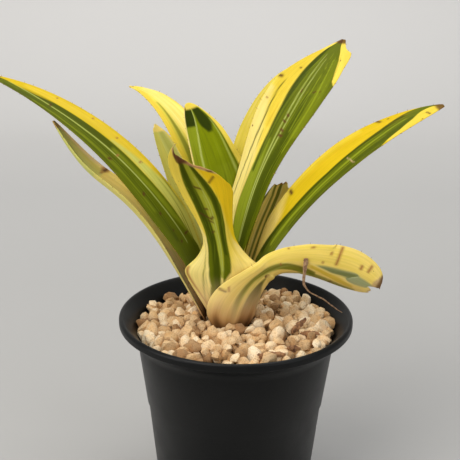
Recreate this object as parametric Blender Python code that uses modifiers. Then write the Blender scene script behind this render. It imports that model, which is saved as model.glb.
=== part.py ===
"""Potted hohenbergia: a variegated bromeliad in a round black plastic pot topped with pumice gravel.

Units are metres and +Z is up. The origin is the middle of the pot's flat underside, and the front of the
plant faces -Y. Sizes below are in millimetres and degrees, and MM turns them into metres.
"""
import math

import bmesh
import bpy
import numpy as np
from mathutils import Matrix, Vector
from mathutils.bvhtree import BVHTree

MM = 0.001
GAP = 0.3

# Pot, turned about Z
POT_HEIGHT = 105.0
RIM_RADIUS = 60.0
RIM_BEAD = 4.4
RIM_LAND = 2.4
SHOULDER_RADIUS = 50.6
SHOULDER_Z = 91.0
STEP_RADIUS = 45.6
STEP_Z = 57.0
STEP_OUT = 0.7
BASE_RADIUS = 40.0
WALL = 1.5
FLOOR = 2.0
POT_SIDES = 44
DRAIN_HOLES = 8
DRAIN_RADIUS = 4.0
DRAIN_RING = 28.0

# Gravel, one bed that fills the pot, with loose looking grains on top
BED_Z = 96.0
BED_CROWN = 2.0
BED_EDGE_RADIUS = 48.6
GRAIN = 7.0
GRAIN_PITCH = 7.9
PLANT_HOLE_RADIUS = 14.2
PLANT_HOLE_Z = 63.0

# Plant, seen from above: the stem stands a little left of the pot's middle
STEM_X = -4.0
STEM_Y = 2.0
LEAF_BASE_Z = 91.0
LEAF_THICKNESS = 0.7
LEAF_COLUMNS = 6
SPINE_LENGTH = 1.5
SPINE_ROOT = 0.9
SPINE_RADIUS = 0.42
SPINE_PITCH = 8.5
SPINES_FROM = 0.34
SPINES_TO = 0.95
SPINE_CLEARANCE = 0.5
CLASP_REACH = 8.0
CLASP_GAP = 1.2
CLASP_SAMPLES = 4
CLASP_ROUNDS = 9
CLASP_SMOOTHING = 4

# Rootstock under the leaves, with its roots inside the plain hole
CORE_RADIUS = 1.6
ROOTSTOCK_RADIUS = 6.5
ROOTSTOCK_TOP_Z = 90.2
ROOTSTOCK_BOTTOM_Z = 74.0
ROOT_COUNT = 7
ROOT_RADIUS = 0.9
ROOT_END_Z = 63.5

# Dry strip, from its end on the recurved leaf down to the pot's shoulder: points of its middle line
STRIP_RADIUS = 0.55
STRIP_END_SHARE = 0.6
STRIP_ROUTE = (
    (34, -12.0, 139.1), (33.9, -11.6, 136.2), (33.7, -11.2, 132.9), (33.4, -10.9, 126.5), (34.5, -10, 123.3),
    (36.6, -8.4, 120), (40.3, -6, 117.1), (45.4, -2.5, 113), (51.9, 2, 106.4), (55.3, 4.4, 103.5))

# Each leaf: heading is the way it leans, anticlockwise from +X. base is its distance from the stem's axis
# where it starts, reach and height are where its tip lies, from the axis and above the pot's rim. rise and
# fall are the midrib's slant from upright at the base and at the tip, and grip and pull say how long it
# keeps them, as shares of the chord. widths are the full widths at the base, sheath, neck and blade, which
# lie at the shares of the length in at. cup is the half angle of the blade's gutter, roll turns the blade
# about its midrib, and sway bends the tip sideways.
LEAVES = {
    "leaf_far_left": dict(
        heading=166, base=6.2, reach=126.4, height=115.3, rise=12.6, fall=73, grip=0.37, pull=0.385,
        widths=(10, 22, 29.4, 30), roll=-21, cup=20, cup_tip=20, belly=2.66),
    "leaf_low_left": dict(
        heading=169.5, base=7.3, reach=91.4, height=94.6, rise=27.5, fall=30, grip=0.82, pull=0.43, sway=-2,
        widths=(8, 17, 30.5, 42), roll=11, cup=30, cup_tip=30, belly=4.2),
    "leaf_back_left": dict(
        heading=124, base=5.2, reach=104, height=102, rise=-6, fall=94, grip=0.56, pull=0.32,
        widths=(7, 11, 16, 25), roll=-13, cup=30, cup_tip=30, belly=2.6, colour=(0.62, 0.50, 0.08)),
    "leaf_hooded": dict(
        heading=98.1, base=3.4, reach=36, height=101.9, rise=8, fall=36.7, grip=0.50, sway=17.4, sway_growth=3.0,
        widths=(5, 10, 19, 28), roll=19.1, cup=25, cup_tip=31.4, belly=6.1, taper=0.75),
    "leaf_tall": dict(
        heading=50, base=2.4, reach=97, height=131, rise=-3, fall=56, grip=0.457, pull=0.364,
        widths=(4, 10, 22, 51.5), at=(0.0, 0.2, 0.4, 0.84), roll=6, cup=30, cup_tip=31.5, belly=5.1, taper=1.0),
    "leaf_front_cut": dict(
        heading=-89, base=7.2, reach=31, height=95, rise=8, fall=44, sway=-23.5,
        widths=(13, 29, 17, 34), at=(0.0, 0.32, 0.49, 0.8), cup=50, cup_tip=30, belly=9.0, cut=0.28),
    "leaf_right": dict(
        heading=5, base=6.4, reach=105, height=106.2, rise=8.3, fall=69.5, pull=0.356,
        widths=(11, 16, 27, 34.5), at=(0.0, 0.2, 0.4, 0.71), roll=18, cup=25, cup_tip=19, belly=3.15, taper=0.82),
    "leaf_recurved": dict(
        heading=-77, base=8.9, reach=33.4, height=19.5, rise=1.4, fall=138.6, grip=0.515, pull=0.944, sway=68.3,
        sway_growth=2.68, widths=(12, 23.7, 18, 33.3), at=(0.0, 0.15, 0.48, 0.87), roll=3.7, cup=47, cup_tip=37,
        belly=10.0, taper=0.44, colour=(0.62, 0.55, 0.16)),
    "leaf_stub_right": dict(
        heading=48, base=6.8, reach=46, height=62, rise=14, fall=40, rows=14,
        widths=(6, 9, 14, 17), cup=30, cup_tip=30, belly=9.0, taper=0.6, cut=0.05),
    "leaf_stub_left": dict(
        heading=124, base=6.3, reach=76, height=85, rise=14, fall=52, rows=16,
        widths=(4, 8, 18, 24), cup=30, cup_tip=30, belly=4.0, taper=0.8, colour=(0.62, 0.50, 0.08)),
    "leaf_back": dict(
        heading=68, base=4.3, reach=99, height=114, rise=-4, fall=75, grip=0.45, rows=18,
        widths=(5, 9, 22, 27), cup=30, cup_tip=30, belly=4.0, taper=0.8),
    "old_sheath": dict(
        heading=17, base=7.4, reach=21, height=9, rise=16, fall=50, rows=8, spines=False,
        widths=(6, 11, 11, 10), cup=45, cup_tip=35, belly=4.0, taper=0.8, colour=(0.66, 0.58, 0.36)),
}
LEAF_USUAL = dict(
    grip=0.40, pull=0.35, sway=0.0, sway_growth=2.0, at=(0.0, 0.2, 0.4, 0.65), roll=0.0, taper=0.9, cut=0.0,
    rows=20, spines=True, colour=(0.30, 0.38, 0.06))
TIP_SHARE = 0.06


def clear_scene():
    """Remove whatever the file starts with."""
    for obj in list(bpy.data.objects):
        bpy.data.objects.remove(obj, do_unlink=True)


def new_collection(name):
    """A collection in the scene, for parts or for cutters."""
    collection = bpy.data.collections.new(name)
    bpy.context.scene.collection.children.link(collection)
    return collection


def material(name, colour, roughness):
    """One Principled material."""
    made = bpy.data.materials.new(name)
    made.use_nodes = True
    shader = made.node_tree.nodes["Principled BSDF"]
    shader.inputs["Base Color"].default_value = (*colour, 1.0)
    shader.inputs["Roughness"].default_value = roughness
    made.diffuse_color = (*colour, 1.0)
    return made


def add_object(name, mesh, collection, surface=None):
    """Put a mesh in the scene under its plain name."""
    obj = bpy.data.objects.new(name, mesh)
    collection.objects.link(obj)
    if surface is not None:
        mesh.materials.append(surface)
    return obj


def mesh_from(name, points, faces):
    """A mesh from a grid's points in millimetres and its faces."""
    mesh = bpy.data.meshes.new(name)
    mesh.from_pydata((np.asarray(points).reshape(-1, 3) * MM).tolist(), [], faces)
    mesh.update()
    return mesh


def smooth_shade(obj, angle=35.0):
    """Smooth shading that keeps the edges sharper than the angle."""
    obj.data.shade_smooth()
    obj.data.set_sharp_from_angle(angle=math.radians(angle))


def apply_modifiers(obj):
    """Replace an object's mesh by what its modifiers make of it."""
    graph = bpy.context.evaluated_depsgraph_get()
    made = bpy.data.meshes.new_from_object(obj.evaluated_get(graph))
    obj.modifiers.clear()
    obj.data = made


def union(obj, others, solver="MANIFOLD"):
    """Join other objects to one by a single Boolean on a collection, then remove them."""
    group = bpy.data.collections.new(obj.name + "_repeats")
    bpy.context.scene.collection.children.link(group)
    for other in others:
        for holder in list(other.users_collection):
            holder.objects.unlink(other)
        group.objects.link(other)
    joint = obj.modifiers.new("Join", "BOOLEAN")
    joint.operation = "UNION"
    joint.operand_type = "COLLECTION"
    joint.collection = group
    joint.solver = solver
    apply_modifiers(obj)
    for other in others:
        bpy.data.objects.remove(other, do_unlink=True)
    bpy.data.collections.remove(group)


def keep_main_body(obj):
    """Drop loose scraps and the skins of sealed hollows: only the body with the most faces stays."""
    form = bmesh.new()
    form.from_mesh(obj.data)
    unseen = set(form.faces)
    bodies = []
    while unseen:
        front = [unseen.pop()]
        body = list(front)
        while front:
            face = front.pop()
            for edge in face.edges:
                for other in edge.link_faces:
                    if other in unseen:
                        unseen.discard(other)
                        front.append(other)
                        body.append(other)
        bodies.append(body)
    bodies.sort(key=len, reverse=True)
    spare = [face for body in bodies[1:] for face in body]
    bmesh.ops.delete(form, geom=spare, context="FACES")
    form.to_mesh(obj.data)
    form.free()


def turned(name, profile, sides, collection, surface):
    """A solid turned about Z from a profile of (radius, height) in millimetres that ends on the axis."""
    points = [(radius, 0.0, height) for radius, height in profile]
    mesh = bpy.data.meshes.new(name)
    mesh.from_pydata([Vector(p) * MM for p in points], [(i, i + 1) for i in range(len(points) - 1)], [])
    obj = add_object(name, mesh, collection, surface)
    screw = obj.modifiers.new("Turn", "SCREW")
    screw.axis = "Z"
    screw.angle = math.tau
    screw.steps = sides
    screw.render_steps = sides
    screw.use_merge_vertices = True
    screw.merge_threshold = 0.00005
    return obj


def arc(centre_x, centre_z, radius, start, end, count):
    """Points on a circle in the profile plane, angles in degrees from +X towards +Z."""
    angles = np.radians(np.linspace(start, end, count))
    return [(centre_x + radius * math.cos(a), centre_z + radius * math.sin(a)) for a in angles]


def flare(outer):
    """The shoulder's curve from the straight wall out to the bead, from its foot upwards.

    The radius grows with the square of the height, so it leaves the wall smoothly. outer is false for
    the inside, which lies one wall thickness in.
    """
    foot = SHOULDER_RADIUS if outer else SHOULDER_RADIUS - WALL
    head = RIM_RADIUS - 1.6 if outer else RIM_RADIUS - RIM_LAND
    top = POT_HEIGHT - RIM_BEAD if outer else POT_HEIGHT - 0.5
    heights = np.linspace(SHOULDER_Z, top, 5)
    share = (heights - SHOULDER_Z) / (top - SHOULDER_Z)
    return [(foot + (head - foot) * (0.25 * s + 0.75 * s * s), z) for s, z in zip(share, heights)]


def pot(collection, cutters, surface):
    """The pot: a tapered wall with a step half way, a flared shoulder and a rolled bead."""
    inside = [(0.0, FLOOR), (BASE_RADIUS - WALL, FLOOR)]
    inside.append((STEP_RADIUS - WALL, STEP_Z))
    inside.append((STEP_RADIUS + STEP_OUT - WALL, STEP_Z + 1.5))
    inside += flare(False)
    bead_radius = 1.6
    bead = arc(RIM_RADIUS - bead_radius, POT_HEIGHT - bead_radius, bead_radius, 90, 0, 4)
    bead += arc(RIM_RADIUS - 1.0, POT_HEIGHT - RIM_BEAD + 1.0, 1.0, 0, -90, 3)
    outside = list(reversed(flare(True)))
    outside.append((STEP_RADIUS + STEP_OUT, STEP_Z + 1.0))
    outside.append((STEP_RADIUS, STEP_Z))
    foot = arc(BASE_RADIUS - 1.8, 1.8, 1.8, 0, -90, 3)
    profile = inside + bead + outside + foot + [(0.0, 0.0)]
    body = turned("pot", profile, POT_SIDES, collection, surface)
    for number in range(DRAIN_HOLES):
        angle = math.tau * (number + 0.4) / DRAIN_HOLES
        mesh = bpy.data.meshes.new("drain_cutter")
        form = bmesh.new()
        bmesh.ops.create_cone(
            form, cap_ends=True, segments=16, radius1=DRAIN_RADIUS * MM, radius2=DRAIN_RADIUS * MM,
            depth=4 * FLOOR * MM)
        form.to_mesh(mesh)
        form.free()
        cutter = add_object("drain_cutter", mesh, cutters)
        cutter.location = Vector((math.cos(angle), math.sin(angle), 0.0)) * DRAIN_RING * MM
        cutter.hide_render = True
        cutter.display_type = "WIRE"
        cut = body.modifiers.new("Drain", "BOOLEAN")
        cut.operation = "DIFFERENCE"
        cut.object = cutter
    return body


def wall_radius_at(height):
    """Inside radius of the pot at a height below the shoulder."""
    if height <= STEP_Z:
        return np.interp(height, [FLOOR, STEP_Z], [BASE_RADIUS - WALL, STEP_RADIUS - WALL])
    return np.interp(
        height, [STEP_Z + 1.5, SHOULDER_Z], [STEP_RADIUS + STEP_OUT - WALL, SHOULDER_RADIUS - WALL])


def bed_height(radius):
    """The bed's surface without its grains: a low crown that falls towards the wall."""
    return BED_Z + BED_CROWN * (1.0 - (radius / SHOULDER_RADIUS) ** 2)


def grain_spots(rng):
    """Where grains lie: a hexagonal net over the bed, each point moved by up to a third of the pitch."""
    spots = []
    rows = int(SHOULDER_RADIUS / GRAIN_PITCH) + 2
    for row in range(-rows, rows + 1):
        for column in range(-rows, rows + 1):
            x = (column + 0.5 * (row % 2)) * GRAIN_PITCH
            y = row * GRAIN_PITCH * math.sqrt(0.75)
            x, y = np.array((x, y)) + rng.uniform(-0.33, 0.33, 2) * GRAIN_PITCH
            from_plant = math.hypot(x - STEM_X, y - STEM_Y) - PLANT_HOLE_RADIUS
            if math.hypot(x, y) < BED_EDGE_RADIUS - 1.5 and from_plant > 0.5 * GRAIN:
                spots.append((x, y))
    return spots


def gravel(collection, surface):
    """The bed that fills the pot, with its plain hole for the plant and the grains on top."""
    rng = np.random.default_rng(7)
    crown = [(0.0, bed_height(0.0)), (BED_EDGE_RADIUS, bed_height(BED_EDGE_RADIUS))]
    outer = []
    for height in (SHOULDER_Z, STEP_Z + 1.5, STEP_Z, FLOOR + GAP):
        outer.append((wall_radius_at(height) - GAP, height))
    body = turned("gravel", crown + outer + [(0.0, FLOOR + GAP)], POT_SIDES // 2, collection, surface)
    apply_modifiers(body)
    grains = []
    for x, y in grain_spots(rng):
        mesh = bpy.data.meshes.new("grain")
        form = bmesh.new()
        bmesh.ops.create_cube(form, size=0.78 * GRAIN * MM * rng.uniform(0.85, 1.05))
        for vertex in form.verts:
            vertex.co *= rng.uniform(0.8, 1.1)
        stretch = Matrix.Diagonal((rng.uniform(0.95, 1.2), rng.uniform(0.8, 1.0), rng.uniform(0.7, 0.95), 1.0))
        turn = Matrix.Rotation(rng.uniform(0.0, math.tau), 4, "Z")
        tilt = Matrix.Rotation(rng.uniform(0.2, 1.0), 4, "X")
        bmesh.ops.transform(form, matrix=turn @ tilt @ stretch, verts=form.verts)
        lift = bed_height(math.hypot(x, y)) + rng.uniform(-0.2, 1.3)
        bmesh.ops.translate(form, vec=Vector((x, y, lift)) * MM, verts=form.verts)
        for vertex in form.verts:
            inwards = (BED_EDGE_RADIUS - 0.2) * MM / math.hypot(vertex.co.x, vertex.co.y)
            vertex.co.xy *= min(1.0, inwards)
        form.to_mesh(mesh)
        form.free()
        grains.append(add_object("grain", mesh, collection))
    union(body, grains)
    hole = bpy.data.meshes.new("plant_hole")
    form = bmesh.new()
    top = POT_HEIGHT + 5.0
    bmesh.ops.create_cone(
        form, cap_ends=True, segments=24, radius1=PLANT_HOLE_RADIUS * MM, radius2=PLANT_HOLE_RADIUS * MM,
        depth=(top - PLANT_HOLE_Z) * MM)
    middle = Vector((STEM_X, STEM_Y, 0.5 * (top + PLANT_HOLE_Z))) * MM
    bmesh.ops.translate(form, vec=middle, verts=form.verts)
    form.to_mesh(hole)
    form.free()
    cutter = add_object("plant_hole", hole, collection)
    cut = body.modifiers.new("Plant hole", "BOOLEAN")
    cut.operation = "DIFFERENCE"
    cut.object = cutter
    cut.solver = "MANIFOLD"
    apply_modifiers(body)
    bpy.data.objects.remove(cutter, do_unlink=True)
    keep_main_body(body)
    return body


def eased(start, end, x):
    """A smooth step from 0 to 1 between two values."""
    t = np.clip((x - start) / (end - start), 0.0, 1.0)
    return t * t * (3.0 - 2.0 * t)


def midrib(leaf, count=241):
    """The leaf's middle line as evenly spaced points, with its sideways and upper directions.

    It is a cubic Bezier curve in the upright plane of the leaf's heading, with the tip swayed sideways
    by a power of the way along. The sideways direction is level at the base and then turns with the
    line by the shortest way. roll turns both directions about the line.
    """
    heading = math.radians(leaf["heading"])
    outward = np.array([math.cos(heading), math.sin(heading), 0.0])
    sideways = np.array([-math.sin(heading), math.cos(heading), 0.0])
    rise, fall = math.radians(leaf["rise"]), math.radians(leaf["fall"])
    start = np.array([leaf["base"], LEAF_BASE_Z])
    tip = np.array([leaf["reach"], leaf["height"] + POT_HEIGHT])
    chord = np.linalg.norm(tip - start)
    first = start + leaf["grip"] * chord * np.array([math.sin(rise), math.cos(rise)])
    second = tip - leaf["pull"] * chord * np.array([math.sin(fall), math.cos(fall)])
    t = np.linspace(0.0, 1.0, count)[:, None]
    u = 1.0 - t
    plane = u ** 3 * start + 3 * u * u * t * first + 3 * u * t * t * second + t ** 3 * tip
    line = np.array([STEM_X, STEM_Y, 0.0]) + plane[:, :1] * outward
    line += leaf["sway"] * t ** leaf["sway_growth"] * sideways
    line[:, 2] += plane[:, 1]
    travelled = np.concatenate([[0.0], np.cumsum(np.linalg.norm(np.diff(line, axis=0), axis=1))])
    s = np.linspace(0.0, 1.0, count)
    line = np.stack([np.interp(s * travelled[-1], travelled, line[:, k]) for k in range(3)], axis=1)
    along = np.gradient(line, axis=0)
    along /= np.linalg.norm(along, axis=1)[:, None]
    upright = np.array([0.0, 0.0, 1.0])
    lean = (along @ sideways / (1.0 + along @ upright))[:, None]
    across = sideways - lean * (along + upright)
    upper = np.cross(along, across)
    roll = np.radians(leaf["roll"] * eased(0.05, 0.5, s))[:, None]
    turned_across = across * np.cos(roll) + upper * np.sin(roll)
    turned_upper = upper * np.cos(roll) - across * np.sin(roll)
    return line, turned_across, turned_upper, travelled[-1]


def half_width(leaf, s):
    """Half the leaf's width: its named widths eased into each other, then drawn in to the tip."""
    width = leaf["widths"][0] + 0.0 * s
    for i in range(3):
        step = leaf["widths"][i + 1] - leaf["widths"][i]
        width = width + step * eased(leaf["at"][i], leaf["at"][i + 1], s)
    close = np.clip(1.0 - s ** leaf["belly"], 0.0, 1.0) ** leaf["taper"]
    return 0.5 * width * (close * (1.0 - TIP_SHARE) + TIP_SHARE)


def blade_points(leaf, s, v):
    """Points of the leaf's middle surface: s runs from base to tip, v from -1 to 1 across.

    Each cross-section is an arc of the leaf's half width. At the base it wraps the stem, and further
    up its half angle eases to cup and then to cup_tip. A cut leaf ends early, more so towards v = 1.
    """
    line, across, upper = midrib(leaf)[:3]
    s = s * (1.0 - leaf["cut"] * 0.5 * (1.0 + v))
    known = np.linspace(0.0, 1.0, len(line))

    def along_line(values):
        return np.stack([np.interp(s, known, values[:, k]) for k in range(3)], axis=-1)

    width = half_width(leaf, s)
    wrap = 0.5 * leaf["widths"][0] / leaf["base"]
    cup, cup_tip = math.radians(leaf["cup"]), math.radians(leaf["cup_tip"])
    angle = wrap + (cup - wrap) * eased(0.0, 0.3, s) + (cup_tip - cup) * eased(0.3, 1.0, s)
    radius = width / angle
    offset = (radius * np.sin(angle * v))[..., None] * along_line(across)
    offset = offset + (radius * (1.0 - np.cos(angle * v)))[..., None] * along_line(upper)
    return along_line(line) + offset


def refined(grid, axis):
    """A grid of points with CLASP_SAMPLES steps for each one it had along an axis."""
    grid = np.moveaxis(grid, axis, 0)
    place = np.linspace(0.0, len(grid) - 1.0, (len(grid) - 1) * CLASP_SAMPLES + 1)
    below = np.minimum(place.astype(int), len(grid) - 2)
    share = (place - below)[:, None, None]
    return np.moveaxis(grid[below] * (1.0 - share) + grid[below + 1] * share, 0, axis)


def laid_outside(points, inner_leaves):
    """Move a leaf's points away from the stem's axis until they clear the leaves inside it.

    At many places on the leaf a ray comes in level towards the axis, from a little outside the place. The
    first surface it meets says how far out the leaf has to lie. Each point takes the largest move asked
    for nearest to it, and each round spreads part of it, so that the leaf bends over what it clasps.
    """
    axis = np.array([STEM_X, STEM_Y])
    points = points.copy()
    half = CLASP_SAMPLES // 2
    for _ in range(CLASP_ROUNDS):
        fine = refined(refined(points, 0), 1)
        level = fine[..., :2] - axis
        outward = level / np.linalg.norm(level, axis=-1)[..., None]
        need = np.zeros(fine.shape[:2])
        for index in np.ndindex(need.shape):
            direction = Vector((*outward[index], 0.0))
            start = Vector(fine[index]) + direction * CLASP_REACH
            for tree in inner_leaves:
                hit = tree.ray_cast(start * MM, -direction, (CLASP_REACH + CLASP_GAP) * MM)[3]
                if hit is not None:
                    need[index] = max(need[index], CLASP_REACH + CLASP_GAP - hit / MM)
        if need.max() < 0.02:
            break
        padded = np.pad(need, half)
        height, width = need.shape
        window = range(2 * half + 1)
        near = [padded[i:i + height:CLASP_SAMPLES, j:j + width:CLASP_SAMPLES] for i in window for j in window]
        move = np.max(near, axis=0)
        for _ in range(CLASP_SMOOTHING):
            padded = np.pad(move, 1, mode="edge")
            around = (padded[:-2, 1:-1] + padded[2:, 1:-1] + padded[1:-1, :-2] + padded[1:-1, 2:]) / 4.0
            move = np.maximum(move, around)
        points[..., :2] += outward[::CLASP_SAMPLES, ::CLASP_SAMPLES] * move[..., None]
    return points


def spine_cones(leaf, name, points, others, collection):
    """Spines along both margins: three-sided cones that point outwards and a little forwards.

    A spine that another leaf would press on is left out.
    """
    length = midrib(leaf)[3]
    rows = np.linspace(0.0, 1.0, len(points))

    def at(ends, column):
        return np.stack([np.interp(ends, rows, points[:, column, k]) for k in range(3)], axis=1)

    cones = []
    for outer_column, next_column in ((0, 1), (-1, -2)):
        ends = np.linspace(SPINES_FROM, SPINES_TO, int((SPINES_TO - SPINES_FROM) * length / SPINE_PITCH))
        edge = at(ends, outer_column)
        inner = at(ends, next_column)
        ahead = at(ends + 0.01, outer_column)
        for tip_root, inside, forward in zip(edge, inner, ahead):
            outwards = Vector(tip_root - inside).normalized()
            onwards = Vector(forward - tip_root).normalized()
            direction = (outwards + 0.45 * onwards).normalized()
            tip = Vector(tip_root) + direction * SPINE_LENGTH
            near = (0.5 * SPINE_LENGTH + SPINE_CLEARANCE) * MM
            probe = (Vector(tip_root) + tip) * 0.5 * MM
            if any(tree.find_nearest(probe, near)[0] is not None for tree in others):
                continue
            mesh = bpy.data.meshes.new(name + "_spine")
            form = bmesh.new()
            bmesh.ops.create_cone(
                form, cap_ends=True, segments=3, radius1=SPINE_RADIUS * MM, radius2=0.0,
                depth=(SPINE_LENGTH + SPINE_ROOT) * MM)
            turn = direction.to_track_quat("Z", "Y").to_matrix().to_4x4()
            middle = Vector(tip_root) + direction * 0.5 * (SPINE_LENGTH - SPINE_ROOT)
            bmesh.ops.transform(form, matrix=Matrix.Translation(middle * MM) @ turn, verts=form.verts)
            form.to_mesh(mesh)
            form.free()
            cones.append(add_object(name + "_spine", mesh, collection))
    return cones


def leaf_blade(name, leaf, inner_leaves, collection, surface):
    """One leaf without spines: its middle surface as a grid of triangles, given its thickness.

    It comes back with its points and its own search tree.
    """
    rows = np.linspace(0.0, 1.0, leaf["rows"] + 1)
    columns = np.linspace(-1.0, 1.0, LEAF_COLUMNS + 1)
    s, v = np.meshgrid(rows, columns, indexing="ij")
    points = laid_outside(blade_points(leaf, s, v), inner_leaves)
    wide = LEAF_COLUMNS + 1
    faces = []
    for row in range(leaf["rows"]):
        for column in range(LEAF_COLUMNS):
            a = row * wide + column
            faces.append((a, a + 1, a + wide))
            faces.append((a + 1, a + wide + 1, a + wide))
    obj = add_object(name, mesh_from(name, points, faces), collection, surface)
    thick = obj.modifiers.new("Thickness", "SOLIDIFY")
    thick.thickness = LEAF_THICKNESS * MM
    thick.offset = 0.0
    apply_modifiers(obj)
    form = bmesh.new()
    form.from_mesh(obj.data)
    tree = BVHTree.FromBMesh(form)
    form.free()
    return obj, points, tree


def leaves(collection):
    """All the leaves, from the innermost outwards, then their spines."""
    blades = {}
    trees = {}
    for name, own in sorted(LEAVES.items(), key=lambda item: item[1]["base"]):
        leaf = LEAF_USUAL | own
        surface = material(name + "_blade", leaf["colour"], 0.45)
        blade, points, tree = leaf_blade(name, leaf, list(trees.values()), collection, surface)
        blades[name] = blade, leaf, points
        trees[name] = tree
    for name, (blade, leaf, points) in blades.items():
        if leaf["spines"]:
            others = [tree for other, tree in trees.items() if other != name]
            union(blade, spine_cones(leaf, name, points, others, collection))
        smooth_shade(blade)


def rootstock(collection, surface):
    """The short stem: a core between the leaf bases, a stock below them and roots that go down."""
    profile = [(0.0, 101.0), (0.7 * CORE_RADIUS, 100.4), (CORE_RADIUS, 98.8), (CORE_RADIUS, ROOTSTOCK_TOP_Z)]
    profile += [(ROOTSTOCK_RADIUS - 0.8, ROOTSTOCK_TOP_Z), (ROOTSTOCK_RADIUS, ROOTSTOCK_TOP_Z - 1.2)]
    profile += [(0.9 * ROOTSTOCK_RADIUS, 82.0), (0.55 * ROOTSTOCK_RADIUS, ROOTSTOCK_BOTTOM_Z + 1.5)]
    profile += [(0.3 * ROOTSTOCK_RADIUS, ROOTSTOCK_BOTTOM_Z), (0.0, ROOTSTOCK_BOTTOM_Z)]
    body = turned("rootstock", profile, 14, collection, surface)
    apply_modifiers(body)
    body.data.transform(Matrix.Translation(Vector((STEM_X, STEM_Y, 0.0)) * MM))
    roots = []
    for number in range(ROOT_COUNT):
        angle = math.tau * number / ROOT_COUNT
        out = Vector((math.cos(angle), math.sin(angle), 0.0))
        stem = Vector((STEM_X, STEM_Y, 0.0))
        down = Vector((0.0, 0.0, 1.0))
        swing = Vector((-math.sin(angle), math.cos(angle), 0.0)) * (1.5 if number % 2 else -1.5)
        route = [
            stem + out * 2.5 + down * 80.0,
            stem + out * 7.5 + down * 76.0,
            stem + out * 9.8 + swing + down * 70.0,
            stem + out * 10.3 - swing + down * ROOT_END_Z,
        ]
        roots.append(tube("root", route, ROOT_RADIUS, 0.6, collection))
    union(body, roots)
    smooth_shade(body)


def tube(name, route, radius, end_share, collection, surface=None):
    """A round strand along a route of points in millimetres, which thins to end_share of its radius."""
    curve = bpy.data.curves.new(name, "CURVE")
    curve.dimensions = "3D"
    curve.bevel_depth = radius * MM
    curve.bevel_resolution = 1
    curve.use_fill_caps = True
    line = curve.splines.new("POLY")
    line.points.add(len(route) - 1)
    for point, place, share in zip(line.points, route, np.linspace(1.0, end_share, len(route))):
        point.co = (*(Vector(place) * MM), 1.0)
        point.radius = share
    shape = bpy.data.objects.new(name, curve)
    collection.objects.link(shape)
    graph = bpy.context.evaluated_depsgraph_get()
    mesh = bpy.data.meshes.new_from_object(shape.evaluated_get(graph))
    bpy.data.objects.remove(shape, do_unlink=True)
    form = bmesh.new()
    form.from_mesh(mesh)
    bmesh.ops.remove_doubles(form, verts=form.verts, dist=0.01 * MM)
    bmesh.ops.recalc_face_normals(form, faces=form.faces)
    form.to_mesh(mesh)
    form.free()
    return add_object(name, mesh, collection, surface)


def build():
    """Make every part."""
    clear_scene()
    parts = new_collection("potted_hohenbergia")
    cutters = new_collection("cutters")
    black_plastic = material("black_plastic", (0.018, 0.019, 0.021), 0.45)
    pumice = material("pumice", (0.62, 0.48, 0.32), 0.9)
    root_brown = material("root_brown", (0.16, 0.09, 0.04), 0.85)
    dry_brown = material("dry_brown", (0.35, 0.20, 0.10), 0.8)
    pot(parts, cutters, black_plastic)
    gravel(parts, pumice)
    rootstock(parts, root_brown)
    leaves(parts)
    tube("dried_strip", STRIP_ROUTE, STRIP_RADIUS, STRIP_END_SHARE, parts, dry_brown)


build()
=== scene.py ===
"""Looks for the potted hohenbergia: leaves with their stripes and spines, pumice, pot, dry strip and studio.

Lengths in this file are millimetres and angles are degrees. MM turns millimetres into Blender's metres.
"""

import math

import bmesh
import bpy
import numpy as np
from mathutils import Matrix


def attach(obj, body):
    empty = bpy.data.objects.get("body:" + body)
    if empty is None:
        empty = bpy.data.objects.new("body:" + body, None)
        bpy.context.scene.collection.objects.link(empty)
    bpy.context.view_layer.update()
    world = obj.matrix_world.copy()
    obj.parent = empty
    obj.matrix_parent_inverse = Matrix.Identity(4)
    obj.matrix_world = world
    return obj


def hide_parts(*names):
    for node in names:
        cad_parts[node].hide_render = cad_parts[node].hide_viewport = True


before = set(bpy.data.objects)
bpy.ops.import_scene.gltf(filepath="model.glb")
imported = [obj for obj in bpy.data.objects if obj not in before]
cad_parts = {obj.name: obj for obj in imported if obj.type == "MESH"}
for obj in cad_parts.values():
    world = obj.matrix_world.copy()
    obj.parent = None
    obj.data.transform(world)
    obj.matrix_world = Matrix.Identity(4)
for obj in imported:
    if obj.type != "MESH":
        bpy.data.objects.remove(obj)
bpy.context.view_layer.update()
MM = 0.001

# The frame's own sizes, as in the part's source
POT_HEIGHT, WALL, FLOOR = 105.0, 1.5, 2.0
RIM_RADIUS, RIM_BEAD, RIM_LAND = 60.0, 4.4, 2.4
SHOULDER_RADIUS, SHOULDER_Z = 50.6, 91.0
STEP_RADIUS, STEP_Z, STEP_OUT = 45.6, 57.0, 0.7
BASE_RADIUS = 40.0
DRAIN_HOLES, DRAIN_RADIUS, DRAIN_RING = 8, 4.0, 28.0
BED_Z, BED_CROWN = 96.0, 2.0
STEM = np.array([-4.0, 2.0])
LEAF_BASE_Z = 91.0
TIP_SHARE = 0.06
CAD_COLUMNS = 6
STRIP_ROUTE = (
    (34, -12.0, 139.1), (33.9, -11.6, 136.2), (33.7, -11.2, 132.9), (33.4, -10.9, 126.5), (34.5, -10, 123.3),
    (36.6, -8.4, 120), (40.3, -6, 117.1), (45.4, -2.5, 113), (51.9, 2, 106.4), (55.3, 4.4, 103.5))

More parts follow.
